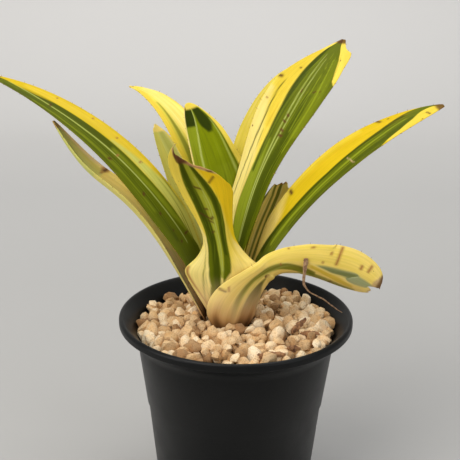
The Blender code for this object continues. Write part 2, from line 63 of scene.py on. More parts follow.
# Each leaf's shape, with the names and values of the part's source
LEAVES = {
    "leaf_far_left": dict(heading=166, base=6.2, reach=126.4, height=115.3, rise=12.6, fall=73, grip=0.37,
        pull=0.385, widths=(10, 22, 29.4, 30), roll=-21, cup=20, cup_tip=20, belly=2.66),
    "leaf_low_left": dict(heading=169.5, base=7.3, reach=91.4, height=94.6, rise=27.5, fall=30, grip=0.82,
        pull=0.43, sway=-2, widths=(8, 17, 30.5, 42), roll=11, cup=30, cup_tip=30, belly=4.2),
    "leaf_back_left": dict(heading=124, base=5.2, reach=104, height=102, rise=-6, fall=94, grip=0.56,
        pull=0.32, widths=(7, 11, 16, 25), roll=-13, cup=30, cup_tip=30, belly=2.6),
    "leaf_hooded": dict(heading=98.1, base=3.4, reach=36, height=101.9, rise=8, fall=36.7, grip=0.5,
        sway=17.4, sway_growth=3, widths=(5, 10, 19, 28), roll=19.1, cup=25, cup_tip=31.4, belly=6.1,
        taper=0.75),
    "leaf_tall": dict(heading=50, base=2.4, reach=97, height=131, rise=-3, fall=56, grip=0.457, pull=0.364,
        widths=(4, 10, 22, 51.5), at=(0, 0.2, 0.4, 0.84), roll=6, cup=30, cup_tip=31.5, belly=5.1, taper=1),
    "leaf_front_cut": dict(heading=-89, base=7.2, reach=31, height=95, rise=8, fall=44, sway=-23.5,
        widths=(13, 29, 17, 34), at=(0, 0.32, 0.49, 0.8), cup=50, cup_tip=30, belly=9, cut=0.28),
    "leaf_right": dict(heading=5, base=6.4, reach=105, height=106.2, rise=8.3, fall=69.5, pull=0.356,
        widths=(11, 16, 27, 34.5), at=(0, 0.2, 0.4, 0.71), roll=18, cup=25, cup_tip=19, belly=3.15,
        taper=0.82),
    "leaf_recurved": dict(heading=-77, base=8.9, reach=33.4, height=19.5, rise=1.4, fall=138.6, grip=0.515,
        pull=0.944, sway=68.3, sway_growth=2.68, widths=(12, 23.7, 18, 33.3), at=(0, 0.15, 0.48, 0.87),
        roll=3.7, cup=47, cup_tip=37, belly=10, taper=0.44),
    "leaf_stub_right": dict(heading=48, base=6.8, reach=46, height=62, rise=14, fall=40, rows=14,
        widths=(6, 9, 14, 17), cup=30, cup_tip=30, belly=9, taper=0.6, cut=0.05),
    "leaf_stub_left": dict(heading=124, base=6.3, reach=76, height=85, rise=14, fall=52, rows=16,
        widths=(4, 8, 18, 24), cup=30, cup_tip=30, belly=4, taper=0.8),
    "leaf_back": dict(heading=68, base=4.3, reach=99, height=114, rise=-4, fall=75, grip=0.45, rows=18,
        widths=(5, 9, 22, 27), cup=30, cup_tip=30, belly=4, taper=0.8),
    "old_sheath": dict(heading=17, base=7.4, reach=21, height=9, rise=16, fall=50, rows=8, spines=False,
        widths=(6, 11, 11, 10), cup=45, cup_tip=35, belly=4, taper=0.8),
}
LEAF_USUAL = dict(grip=0.4, pull=0.35, sway=0, sway_growth=2, at=(0, 0.2, 0.4, 0.65), roll=0, taper=0.9,
    cut=0, rows=20, spines=True)

# Leaf skin: distance between rows, points across, and thickness in the middle and at the margin
ROW_PITCH, COLUMNS = 0.65, 64
THICK_MIDDLE, THICK_MARGIN = 0.8, 0.3

# Where a CAD leaf's points count as the two skins over a point of the formula: least and greatest distance
# outwards, and greatest distance in height and direction
SKIN_IN, SKIN_OUT, SKIN_NEAR = -0.6, 16.0, 0.5

# Spines: distance apart, share that is missing, run along the leaf, lengths, root radii, depth of the root in
# the leaf, bend towards the tip as a share of the length, and rings and points around
SPINE_PITCH, SPINES_MISSING = 5.0, 0.12
SPINE_RUN, SPINE_LENGTHS, SPINE_RADII = (0.22, 0.97), (0.6, 1.3), (0.17, 0.26)
SPINE_ROOT, SPINE_BEND = 0.7, 0.7
SPINE_RINGS, SPINE_SIDES = 5, 6

# The pot's rounded edges: top and foot of the bead, inside lip, corner of the foot and of the floor, and the
# heights over which the step goes out, inside and outside
BEAD_TOP, BEAD_FOOT, LIP, FOOT_ROUND, FLOOR_ROUND = 1.6, 1.0, 0.5, 1.8, 0.8
STEP_INSIDE, STEP_OUTSIDE = 1.5, 1.0
POT_SIDES, BED_SIDES = 144, 96

# Pumice: (count, least size, greatest size, height over the bed) of each layer, flats on a grain, their
# depths, stretch, radius as a share of the size, and space to the wall. Fines: depth under the bed and space
GRAIN_LAYERS = [(300, 5.2, 7.4, -2.2), (230, 4.6, 8.4, 1.0), (60, 4.6, 8.2, 3.2)]
GRAIN_FLATS, FLAT_DEPTHS, GRAIN_STRETCH, GRAIN_RADIUS = 9, (0.50, 0.86), (0.72, 1.30), 0.55
GRAIN_SPACE, FINES_DEPTH, FINES_SPACE = 0.5, 2.6, 0.3
# How near two grains come as a share of both sizes, how near one comes to a leaf or the wall as a share of
# its own size, and the heights between which the leaves keep the grains away
GRAIN_NEAR, GRAIN_HALF, CLUMP_LOW, CLUMP_HIGH = 0.40, 0.42, 93, 104

# Loose chips of bark: x, y, heading, rise of the far end and length
BARK_CHIPS = [(32, -8, 50, 1.6, 12), (17, -40.5, 4, 0.4, 13), (28, -33.5, 35, -0.8, 7), (37, -17, -20, 1, 9)]
CHIP_HEIGHT = 4.2

# Stain where a leaf leaves the soil: colour, heights where it is full and where it ends, and strength
STAINS = [("pink", 106.0, 130.0, 0.75), ("rust", 101.0, 115.0, 0.8), ("soil", 98.0, 107.0, 0.9)]

# The studio's paper: front end, where its bend starts, radius of the bend, top and half width
PAPER_FRONT, PAPER_BEND, BEND_RADIUS, PAPER_TOP, PAPER_HALF = -3000.0, 900.0, 500.0, 3500.0, 3500.0
# In metres: lamps as (name, place, size, power, height of the aim, tone), and the camera
LAMPS = [
    ("key_light", (-0.9, -0.9, 1.7), 1.2, 22.0, 0.12, (1.0, 0.97, 0.93)),
    ("side_light", (-1.5, -0.7, 0.5), 0.9, 9.0, 0.12, (1.0, 0.98, 0.95)),
    ("fill_light", (1.3, -1.0, 1.0), 1.4, 8.0, 0.12, (0.97, 0.98, 1.0)),
    ("top_light", (0.1, 0.5, 1.9), 1.4, 19.0, 0.1, (1.0, 1.0, 1.0))]
CAMERA_PLACE, CAMERA_DOWN, CAMERA_ROLL, CAMERA_LENS = (-0.0035, -0.404, 0.2815), 18.1, 0.65, 66.5

# How far the margins stand out where the leaf differs from its plain shape, in percent: s, and the shares
# of the plain half width at v = -1 and at v = 1
MARGINS = {
    "leaf_far_left": [(35, 100, 100), (45, 95, 100), (72, 95, 100), (82, 97, 97), (90, 100, 93),
        (97, 100, 100)],
    "leaf_back_left": [(55, 100, 96), (75, 100, 94), (85, 93, 100), (92, 75, 100), (100, 80, 90)],
    "leaf_hooded": [(55, 100, 100), (70, 112, 100), (86, 112, 100), (94, 100, 100)],
    "leaf_tall": [(25, 100, 100), (33, 88, 100), (42, 85, 100), (60, 82, 100), (74, 84, 100), (79, 92, 100),
        (84, 105, 97), (87, 115, 95), (90, 162, 92), (92, 170, 88), (94.5, 105, 84), (100, 80, 80)],
    "leaf_front_cut": [(55, 100, 100), (68, 90, 100), (78, 80, 100), (87, 92, 100), (100, 100, 100)],
    "leaf_right": [(20, 100, 100), (32, 70, 100), (38, 70, 100), (45, 77, 98), (52, 82, 96), (62, 86, 96),
        (75, 88, 100), (82, 94, 100), (88, 100, 100)],
}
# What is missing from the ends of leaves, in percent: u and the share of the length
ENDS = {
    "leaf_front_cut": [(0, 0), (6, 0.8), (12, 0), (20, 1.2), (27, 0.2), (40, 0), (50, 0.8), (60, 0),
        (72, 0.8), (80, 2.8), (88, 5), (94, 5.5), (100, 8.5)],
    "leaf_recurved": [(0, 1.2), (8, 0), (30, 0), (44, 0.8), (52, 4.5), (58, 6), (64, 3.5), (70, 2.8),
        (76, 4.2), (84, 3), (92, 5), (100, 6)],
    "leaf_stub_right": [(0, 7), (20, 4.5), (32, 1.2), (45, 0), (60, 1.5), (70, 0), (85, 2), (100, 1)],
    "leaf_stub_left": [(0, 4), (15, 0), (40, 1.5), (55, 0), (80, 2), (100, 3)],
}

# Leaf colours as linear light
PAINT = {
    "cream": (0.95, 0.72, 0.20),
    "pale": (0.88, 0.72, 0.25),
    "yellow": (0.86, 0.66, 0.09),
    "gold": (0.68, 0.475, 0.010),
    "honey": (0.93, 0.62, 0.012),
    "orange": (0.66, 0.36, 0.03),
    "lime": (0.28, 0.33, 0.015),
    "mint": (0.52, 0.57, 0.15),
    "green": (0.115, 0.14, 0.003),
    "leafy": (0.215, 0.26, 0.001),
    "dark": (0.045, 0.062, 0.001),
    # painted shade: the dark under the hooded leaf's folded-over tip
    "painted_hood_shade": (0.020, 0.034, 0.0005),
    "fleck": (0.34, 0.38, 0.20),
    "grey": (0.46, 0.47, 0.22),
    "pink": (0.76, 0.54, 0.28),
    "dry": (0.55, 0.36, 0.20),
    "rust": (0.38, 0.16, 0.05),
    "brown": (0.10, 0.035, 0.012),
    "soil": (0.08, 0.033, 0.012),
}


def eased(start, end, x):
    """A smooth step from 0 to 1 between two values: 3t² − 2t³."""
    t = np.clip((x - start) / (end - start), 0.0, 1.0)
    return t * t * (3.0 - 2.0 * t)


def unit(vectors):
    """Vectors brought to length 1."""
    return vectors / np.maximum(np.linalg.norm(vectors, axis=-1, keepdims=True), 1e-9)


def read_between(places, known, values):
    """Rows of three values read at any places between the known ones."""
    return np.stack([np.interp(places, known, values[:, k]) for k in range(3)], axis=-1)


def rolled(side, up, degrees):
    """A pair of directions turned in their own plane."""
    turn = np.radians(degrees)[:, None]
    return side * np.cos(turn) + up * np.sin(turn), up * np.cos(turn) - side * np.sin(turn)


def midrib(leaf, count=241):
    """The leaf's middle line as evenly spaced points, with its sideways and upper directions and its length.

    A cubic Bezier curve in the upright plane of the heading, whose tip sways sideways by a power of the
    way along. The sideways direction starts level and turns with the line by the shortest way, and roll
    turns both directions about the line.
    """
    heading = math.radians(leaf["heading"])
    outward = np.array([math.cos(heading), math.sin(heading), 0.0])
    sideways = np.array([-math.sin(heading), math.cos(heading), 0.0])
    rise, fall = math.radians(leaf["rise"]), math.radians(leaf["fall"])
    start = np.array([leaf["base"], LEAF_BASE_Z])
    tip = np.array([leaf["reach"], leaf["height"] + POT_HEIGHT])
    chord = np.linalg.norm(tip - start)
    first = start + leaf["grip"] * chord * np.array([math.sin(rise), math.cos(rise)])
    second = tip - leaf["pull"] * chord * np.array([math.sin(fall), math.cos(fall)])
    t = np.linspace(0.0, 1.0, count)[:, None]
    u = 1.0 - t
    plane = u ** 3 * start + 3 * u * u * t * first + 3 * u * t * t * second + t ** 3 * tip
    line = np.append(STEM, 0.0) + plane[:, :1] * outward
    line += leaf["sway"] * t ** leaf["sway_growth"] * sideways
    line[:, 2] += plane[:, 1]
    travelled = np.append(0.0, np.cumsum(np.linalg.norm(np.diff(line, axis=0), axis=1)))
    s = np.linspace(0.0, 1.0, count)
    line = read_between(s * travelled[-1], travelled, line)
    along = unit(np.gradient(line, axis=0))
    upright = np.array([0.0, 0.0, 1.0])
    lean = (along @ sideways / (1.0 + along @ upright))[:, None]
    across = sideways - lean * (along + upright)
    across, upper = rolled(across, np.cross(along, across), leaf["roll"] * eased(0.05, 0.5, s))
    return line, across, upper, travelled[-1]


def half_width(leaf, s):
    """Half the leaf's width: the named widths eased into each other, then drawn in to the tip."""
    widths, at = leaf["widths"], leaf["at"]
    width = widths[0] + sum((widths[i + 1] - widths[i]) * eased(at[i], at[i + 1], s) for i in range(3))
    close = np.clip(1.0 - s ** leaf["belly"], 0.0, 1.0) ** leaf["taper"]
    return 0.5 * width * (close * (1.0 - TIP_SHARE) + TIP_SHARE)


def blade_points(leaf, s, v):
    """The leaf's middle surface: s runs from base to tip, v from -1 to 1 across.

    Each cross-section is an arc as wide as the leaf. Its half angle is a full wrap of the stem at the
    base and eases to cup and then to cup_tip. A cut leaf ends early, more so towards v = 1.
    """
    line, across, upper, _ = midrib(leaf)
    s = s * (1.0 - leaf["cut"] * 0.5 * (1.0 + v))
    known = np.linspace(0.0, 1.0, len(line))
    wrap = 0.5 * leaf["widths"][0] / leaf["base"]
    cup, cup_tip = math.radians(leaf["cup"]), math.radians(leaf["cup_tip"])
    angle = wrap + (cup - wrap) * eased(0.0, 0.3, s) + (cup_tip - cup) * eased(0.3, 1.0, s)
    radius = half_width(leaf, s) / angle
    aside = (radius * np.sin(angle * v))[..., None] * read_between(s, known, across)
    lifted = (radius * (1.0 - np.cos(angle * v)))[..., None] * read_between(s, known, upper)
    return read_between(s, known, line) + aside + lifted


def round_stem(points):
    """Distance from the stem's axis, direction about it in radians, and height of points."""
    level = points[..., :2] - STEM
    return np.linalg.norm(level, axis=-1), np.arctan2(level[..., 1], level[..., 0]), points[..., 2]


def clasp_moves(name, leaf):
    """How far out from the stem's axis the CAD leaf lies from the plain formula, on its own rows and columns.

    The CAD leaf was moved straight out from the axis, so each formula point has its two skins at its own
    height and direction. The move is the mean distance of the two nearest of them, less the formula's.
    A point without them takes the mean of its neighbours.
    """
    rows = np.linspace(0.0, 1.0, leaf["rows"] + 1)
    columns = np.linspace(-1.0, 1.0, CAD_COLUMNS + 1)
    plain = blade_points(leaf, *np.meshgrid(rows, columns, indexing="ij")).reshape(-1, 3)
    radius, turn, height = round_stem(plain)
    radius_cad, turn_cad, height_cad = round_stem(node_points(name) / MM)
    swing = (turn_cad - turn[:, None] + math.pi) % math.tau - math.pi
    apart = np.hypot(height_cad - height[:, None], swing * radius_cad)
    out = radius_cad - radius[:, None]
    apart = np.where((out > SKIN_IN) & (out < SKIN_OUT), apart, np.inf)
    nearest = np.argsort(apart, axis=1)[:, :2]
    found = np.take_along_axis(apart, nearest, 1).max(axis=1) < SKIN_NEAR
    move = np.where(found, np.take_along_axis(out, nearest, 1).mean(axis=1), np.nan)
    move = move.reshape(len(rows), len(columns))
    for _ in range(6):
        padded = np.pad(move, 1, constant_values=np.nan)
        around = np.stack([padded[1:-1, :-2], padded[1:-1, 2:], padded[:-2, 1:-1], padded[2:, 1:-1]])
        known = ~np.isnan(around)
        mean = np.where(known, around, 0.0).sum(axis=0) / np.maximum(known.sum(axis=0), 1)
        move = np.where(np.isnan(move) & known.any(axis=0), mean, move)
    return np.clip(np.nan_to_num(move), 0.0, None)


def node_points(name):
    """A CAD node's corner points, each once, in metres."""
    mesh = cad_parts[name].data
    flat = np.empty(len(mesh.vertices) * 3, np.float32)
    mesh.vertices.foreach_get("co", flat)
    return np.unique(np.round(flat.reshape(-1, 3).astype(float), 6), axis=0)


def smooth_rows(grid, places, axis):
    """A grid read between its rows by a Catmull-Rom curve through four neighbouring rows."""
    grid = np.moveaxis(grid, axis, 0)
    last = len(grid) - 1
    below = np.clip(places.astype(int), 0, last - 1)
    t = (places - below).reshape(-1, *[1] * (grid.ndim - 1))
    a, b = grid[np.maximum(below - 1, 0)], grid[below]
    c, d = grid[below + 1], grid[np.minimum(below + 2, last)]
    made = b + 0.5 * t * (c - a + t * (2 * a - 5 * b + 4 * c - d + t * (3 * (b - c) + d - a)))
    return np.moveaxis(made, 0, axis)


def leaf_surface(name, leaf, s, v):
    """The leaf's middle surface on fine rows and columns, laid over its neighbours as the CAD leaf is."""
    points = blade_points(leaf, s, v)
    moves = smooth_rows(clasp_moves(name, leaf), np.linspace(0.0, leaf["rows"], len(s)), 0)
    moves = smooth_rows(moves, np.linspace(0.0, CAD_COLUMNS, s.shape[1]), 1)
    points[..., :2] += unit(points[..., :2] - STEM) * np.clip(moves, 0.0, None)[..., None]
    return points


def surface_directions(points):
    """Unit directions along the rows, across the columns and out of the upper side of a grid of points."""
    along, across = np.gradient(points, axis=(0, 1))
    return unit(along), unit(across), unit(np.cross(along, across))


def mesh_from(name, points, faces, surfaces, face_surface=None, uv=None, values=None, sharp=None):
    """An object from points in millimetres, face arrays, materials, a UV pair per point and point values."""
    mesh = bpy.data.meshes.new(name)
    corners = np.concatenate([f.ravel() for f in faces]).astype(np.int32)
    sizes = np.concatenate([np.full(len(f), f.shape[1]) for f in faces])
    mesh.vertices.add(len(points))
    mesh.vertices.foreach_set("co", (points * MM).astype(np.float32).ravel())
    mesh.loops.add(len(corners))
    mesh.loops.foreach_set("vertex_index", corners)
    mesh.polygons.add(len(sizes))
    mesh.polygons.foreach_set("loop_start", (np.cumsum(sizes) - sizes).astype(np.int32))
    for surface in surfaces:
        mesh.materials.append(surface)
    if face_surface is not None:
        mesh.polygons.foreach_set("material_index", face_surface.astype(np.int32))
    if uv is not None:
        layer = mesh.uv_layers.new(name="layout")
        layer.data.foreach_set("uv", uv[corners].astype(np.float32).ravel())
    for key, value in (values or {}).items():
        kind, field = "FLOAT", "value"
        if value.ndim == 2:
            kind, field = "FLOAT_COLOR", "color"
            value = np.column_stack([value, np.ones(len(value))])
        mesh.attributes.new(key, kind, "POINT").data.foreach_set(field, value.astype(np.float32).ravel())
    mesh.update(calc_edges=True)
    mesh.validate()
    mesh.shade_smooth()
    if sharp is not None:
        mesh.set_sharp_from_angle(angle=math.radians(sharp))
    obj = bpy.data.objects.new(name, mesh)
    bpy.context.scene.collection.objects.link(obj)
    return obj


def loop_faces(rows, around):
    """Quads of a tube of rows closed rings with that many points around, outward if the rings turn left."""
    row, column = np.meshgrid(np.arange(rows - 1), np.arange(around), indexing="ij")
    a = (row * around + column).ravel()
    b = (row * around + (column + 1) % around).ravel()
    return np.stack([a, a + around, b + around, b], axis=1)


def both_sides(upper, under):
    """Values for the ring points of a leaf's skin: across the upper side and back under it."""
    return np.concatenate([upper, under[:, ::-1]], axis=1).reshape(-1, upper.shape[-1])


def leaf_shell(middle, thickness):
    """A closed skin round a middle surface: its ring points, and its faces with both ends closed."""
    rows, columns = middle.shape[:2]
    half = surface_directions(middle)[2] * 0.5 * thickness[..., None]
    around = 2 * columns
    j = np.arange(columns - 1)
    start = np.stack([j, j + 1, around - 2 - j, around - 1 - j], axis=1)
    end = start[:, ::-1] + (rows - 1) * around
    return both_sides(middle + half, middle - half), [loop_faces(rows, around), start, end]


def spine_rows(middle, length, rng):
    """Curved cones along both margins, as points, quads and each point's share of the way to the spine's tip.

    A spine's middle line leaves the margin outwards and bends towards the leaf's tip with the square of
    the way, and its radius falls in a straight line to a fine end.
    """
    rows = np.linspace(0.0, 1.0, len(middle))
    grids = middle, *surface_directions(middle)
    count = max(int((SPINE_RUN[1] - SPINE_RUN[0]) * length / SPINE_PITCH), 2)
    groups, shares = [], []
    step = np.linspace(0.0, 1.0, SPINE_RINGS)[:, None]
    turn = np.arange(SPINE_SIDES)[:, None] * math.tau / SPINE_SIDES
    for column, way in ((0, -1.0), (-1, 1.0)):
        place = np.linspace(*SPINE_RUN, count) + rng.uniform(-0.3, 0.3, count) * SPINE_PITCH / length
        place = place[rng.random(count) > SPINES_MISSING]
        root, forward, out, up = (read_between(place, rows, grid[:, column])[:, None] for grid in grids)
        long = rng.uniform(*SPINE_LENGTHS, len(place))[:, None, None]
        fine = rng.uniform(*SPINE_RADII, len(place))[:, None, None, None]
        centre = root + way * ((SPINE_ROOT + long) * step - SPINE_ROOT) * out
        centre = centre + long * SPINE_BEND * step ** 2 * forward
        ring = (np.cos(turn) * forward + way * np.sin(turn) * up)[:, None]
        cone = centre[:, :, None] + ring * fine * (1.0 - 0.97 * step[:, None])
        groups.append(cone.reshape(-1, SPINE_RINGS * SPINE_SIDES, 3))
        shares.append(np.tile(np.repeat(step, SPINE_SIDES), len(place)))
    points = np.concatenate(groups)
    each = SPINE_RINGS * SPINE_SIDES
    side = loop_faces(SPINE_RINGS, SPINE_SIDES)[:, ::-1]
    k = np.arange(SPINE_SIDES)
    lids = np.stack([k, k[::-1] + each - SPINE_SIDES])
    start = np.arange(len(points))[:, None, None] * each
    faces = [(side + start).reshape(-1, 4), (lids + start).reshape(-1, SPINE_SIDES)]
    return points.reshape(-1, 3), faces, np.concatenate(shares)


def feed(made, values):
    """Set a node's inputs to values, or link them to other nodes."""
    for socket, value in values.items():
        if isinstance(value, bpy.types.NodeSocket):
            made.id_data.links.new(value, made.inputs[socket])
        else:
            made.inputs[socket].default_value = value


def node(tree, kind, values=None, **settings):
    """A shader node with its settings, and values or links for its inputs."""
    made = tree.nodes.new("ShaderNode" + kind)
    for key, value in settings.items():
        setattr(made, key, value)
    feed(made, values or {})
    return made


def new_finish(name):
    """An empty node material and its Principled shader."""
    made = bpy.data.materials.new(name)
    made.use_nodes = True
    return made, made.node_tree, made.node_tree.nodes["Principled BSDF"]


def ramp(tree, factor, *stops):
    """A colour ramp through (position, colour) stops."""
    made = node(tree, "ValToRGB", {"Fac": factor})
    elements = made.color_ramp.elements
    while len(elements) < len(stops):
        elements.new(0.5)
    for element, (position, colour) in zip(elements, stops):
        element.position = position
        element.color = (*colour, 1.0)
    return made.outputs["Color"]


def mixed(tree, factor, a, b, blend="MIX"):
    """Two colours mixed by a factor, which may be a number."""
    made = node(tree, "Mix", data_type="RGBA", blend_type=blend)
    feed(made, {0: factor, 6: a, 7: b})
    return made.outputs[2]


def shaded(tree, factor, colour, value, low, tone, high):
    """A colour multiplied by a tone where a value is low and by white where it is high."""
    return mixed(tree, factor, colour, ramp(tree, value, (low, tone), (high, (1.0, 1.0, 1.0))), "MULTIPLY")


def mapped(tree, value, low, high, to_low, to_high):
    """A value moved from one range to another, held at both ends."""
    made = node(tree, "MapRange", {
        "Value": value, "From Min": low, "From Max": high, "To Min": to_low, "To Max": to_high})
    return made.outputs["Result"]


def noise(tree, scale, detail, roughness=0.5, where=None):
    """Noise at a scale, over the object's own coordinates if no others are given."""
    if where is None:
        where = node(tree, "TexCoord").outputs["Object"]
    made = node(tree, "TexNoise", {"Vector": where, "Scale": scale, "Detail": detail, "Roughness": roughness})
    return made.outputs["Fac"]


def raised(tree, height, strength, distance):
    """The surface's normal with a height value as relief."""
    made = node(tree, "Bump", {"Height": height, "Strength": strength, "Distance": distance})
    return made.outputs["Normal"]


def leaf_finish(name, length, width):
    """Leaf skin: the painted markings with fine streaks along the leaf, brown specks, waxy gloss and ribs."""
    made, tree, shader = new_finish(name)
    layout = node(tree, "UVMap", uv_map="layout").outputs["UV"]

    def stretched(across, along):
        """The leaf's own layout in millimetres, times a factor each way."""
        scale = (width * across, length * along, 1.0)
        return node(tree, "Mapping", {"Vector": layout, "Scale": scale}).outputs["Vector"]

    streak = noise(tree, 1.0, 3.0, where=stretched(1.1, 0.035))
    cloud = noise(tree, 1.0, 4.0, where=stretched(0.12, 0.06))
    paint = node(tree, "Attribute", attribute_name="markings").outputs["Color"]
    colour = shaded(tree, 0.8, paint, streak, 0.3, (0.84, 0.86, 0.78), 0.65)
    colour = shaded(tree, 0.8, colour, cloud, 0.3, (0.90, 0.88, 0.74), 0.65)
    dots = node(tree, "TexVoronoi", {"Vector": stretched(1.0, 1.0), "Scale": 0.16})
    cell = node(tree, "SeparateColor", {"Color": dots.outputs["Color"]}).outputs["Red"]
    size = mapped(tree, cell, 0.72, 1.0, 0.0, 0.11)
    spot = node(tree, "Math", {0: size, 1: dots.outputs["Distance"]}, operation="SUBTRACT").outputs["Value"]
    feed(shader, {
        "Base Color": mixed(tree, mapped(tree, spot, 0.0, 0.03, 0.0, 0.8), colour, (0.16, 0.07, 0.02, 1.0)),
        "Roughness": mapped(tree, cloud, 0.3, 0.7, 0.42, 0.56), "Normal": raised(tree, streak, 0.45, 0.00025),
        "Subsurface Weight": 0.12, "Subsurface Radius": (1.0, 0.8, 0.2), "Subsurface Scale": 0.0015,
        "Specular IOR Level": 0.05})
    return made


def spine_finish():
    """Spines: green-yellow at the root, through rust to a dark brown point."""
    made, tree, shader = new_finish("spine_horn")
    share = node(tree, "Attribute", attribute_name="tipward").outputs["Fac"]
    feed(shader, {"Roughness": 0.45, "Base Color": ramp(
        tree, share, (0.0, (0.50, 0.40, 0.06)), (0.35, (0.40, 0.16, 0.03)), (0.75, (0.06, 0.022, 0.01)))})
    return made


def plastic_finish():
    """Pot: black moulded plastic with a faint grain and dull patches."""
    made, tree, shader = new_finish("black_pot_plastic")
    patch = noise(tree, 28.0, 4.0, 0.6)
    feed(shader, {
        "Base Color": ramp(tree, patch, (0.35, (0.003, 0.0033, 0.0033)), (0.7, (0.006, 0.0063, 0.006))),
        "Roughness": mapped(tree, patch, 0.3, 0.7, 0.34, 0.46), "Specular IOR Level": 0.17,
        "Normal": raised(tree, noise(tree, 900.0, 3.0), 0.25, 0.00012)})
    return made


def pumice_finish():
    """Pumice: each grain has its own tint from tan and ochre to cream, with pores and warm patches."""
    made, tree, shader = new_finish("pumice_stone")
    tint = node(tree, "Attribute", attribute_name="tint").outputs["Fac"]
    pores = noise(tree, 1400.0, 4.0, 0.7)
    colour = ramp(tree, tint, (0.0, (0.34, 0.19, 0.08)), (0.2, (0.62, 0.41, 0.20)), (0.6, (0.78, 0.58, 0.34)),
                  (1.0, (0.92, 0.78, 0.55)))
    colour = shaded(tree, 0.7, colour, pores, 0.32, (0.35, 0.26, 0.18), 0.50)
    colour = shaded(tree, 0.8, colour, noise(tree, 240.0, 3.0), 0.35, (1.0, 0.86, 0.68), 0.6)
    feed(shader, {"Base Color": colour, "Roughness": 0.92, "Normal": raised(tree, pores, 0.6, 0.0006)})
    return made


def rough_finish(name, dark, light, grain, roughness=0.8, relief=(0.6, 0.0004), levels=(0.35, 0.68)):
    """Rough matter in two browns, with one noise for its colour and its relief.

    grain is the noise's scale, detail and roughness, relief its strength and depth in metres, and levels
    are the values of the noise that come out dark and light.
    """
    made, tree, shader = new_finish(name)
    fibre = noise(tree, *grain)
    feed(shader, {"Base Color": ramp(tree, fibre, (levels[0], dark), (levels[1], light)),
                  "Roughness": roughness, "Normal": raised(tree, fibre, *relief)})
    return made


def painted(paint, colour, share):
    """A share of one of the named colours laid over the paint."""
    return paint + (np.array(PAINT[colour]) - paint) * share[..., None]


def band(paint, s, u, colour, at, low, high, soft=1.2, strength=1.0):
    """Paint a band where u lies between two edges that run through their values at the stations.

    Stations, edges and softness are percent. The share of paint is an eased step in at one edge and out
    at the other, soft wide. An edge that stays where it is may be one number.
    """
    at, soft = 0.01 * np.array(at), 0.01 * soft
    low, high = (np.interp(s, at, np.broadcast_to(0.01 * np.array(edge), len(at))) for edge in (low, high))
    inside = eased(-soft, soft, u - low) * eased(-soft, soft, high - u) * eased(0.0, soft, high - low)
    inside = inside * eased(at[0] - 0.012, at[0] + 0.001, s) * eased(-at[-1] - 0.012, 0.001 - at[-1], -s)
    return painted(paint, colour, inside * strength)


def pinstripes(paint, s, u, rng, colour, count, spread, run, width, strength):
    """Paint fine lines along the leaf inside a spread of u, each over its own part of the run of s.

    Spread, run and width are percent. A line's paint falls off from it as a bell curve.
    """
    (left, right), (near, far), width = (0.01 * np.array(value) for value in (spread, run, width))
    for _ in range(count):
        centre = rng.uniform(left, right)
        first = rng.uniform(near, near + 0.7 * (far - near))
        last = min(first + rng.uniform(0.25, 0.9) * (far - near), far)
        half = width * rng.uniform(0.5, 1.3)
        drift = rng.uniform(-0.02, 0.02)
        line = np.exp(-((u - centre - drift * np.sin(4.0 * s)) / half) ** 2)
        line = line * eased(first, first + 0.08, s) * (1.0 - eased(last - 0.08, last, s))
        paint = painted(paint, colour, line * strength * rng.uniform(0.5, 1.0))
    return paint


def scar(paint, s, u, size, colour, place):
    """Paint a short scratch or spot: a bell curve of the distance in millimetres from a straight piece.

    The place is u and s of its start and of its end in percent, and its thickness in millimetres.
    """
    a, b = 0.01 * np.array(place[:4]).reshape(2, 2) * size
    here = np.stack([u, s], axis=-1) * size - a
    share = np.clip((here @ (b - a)) / max((b - a) @ (b - a), 1e-9), 0.0, 1.0)
    away = np.linalg.norm(here - share[..., None] * (b - a), axis=-1)
    return painted(paint, colour, 0.95 * np.exp(-(away / place[4]) ** 2))


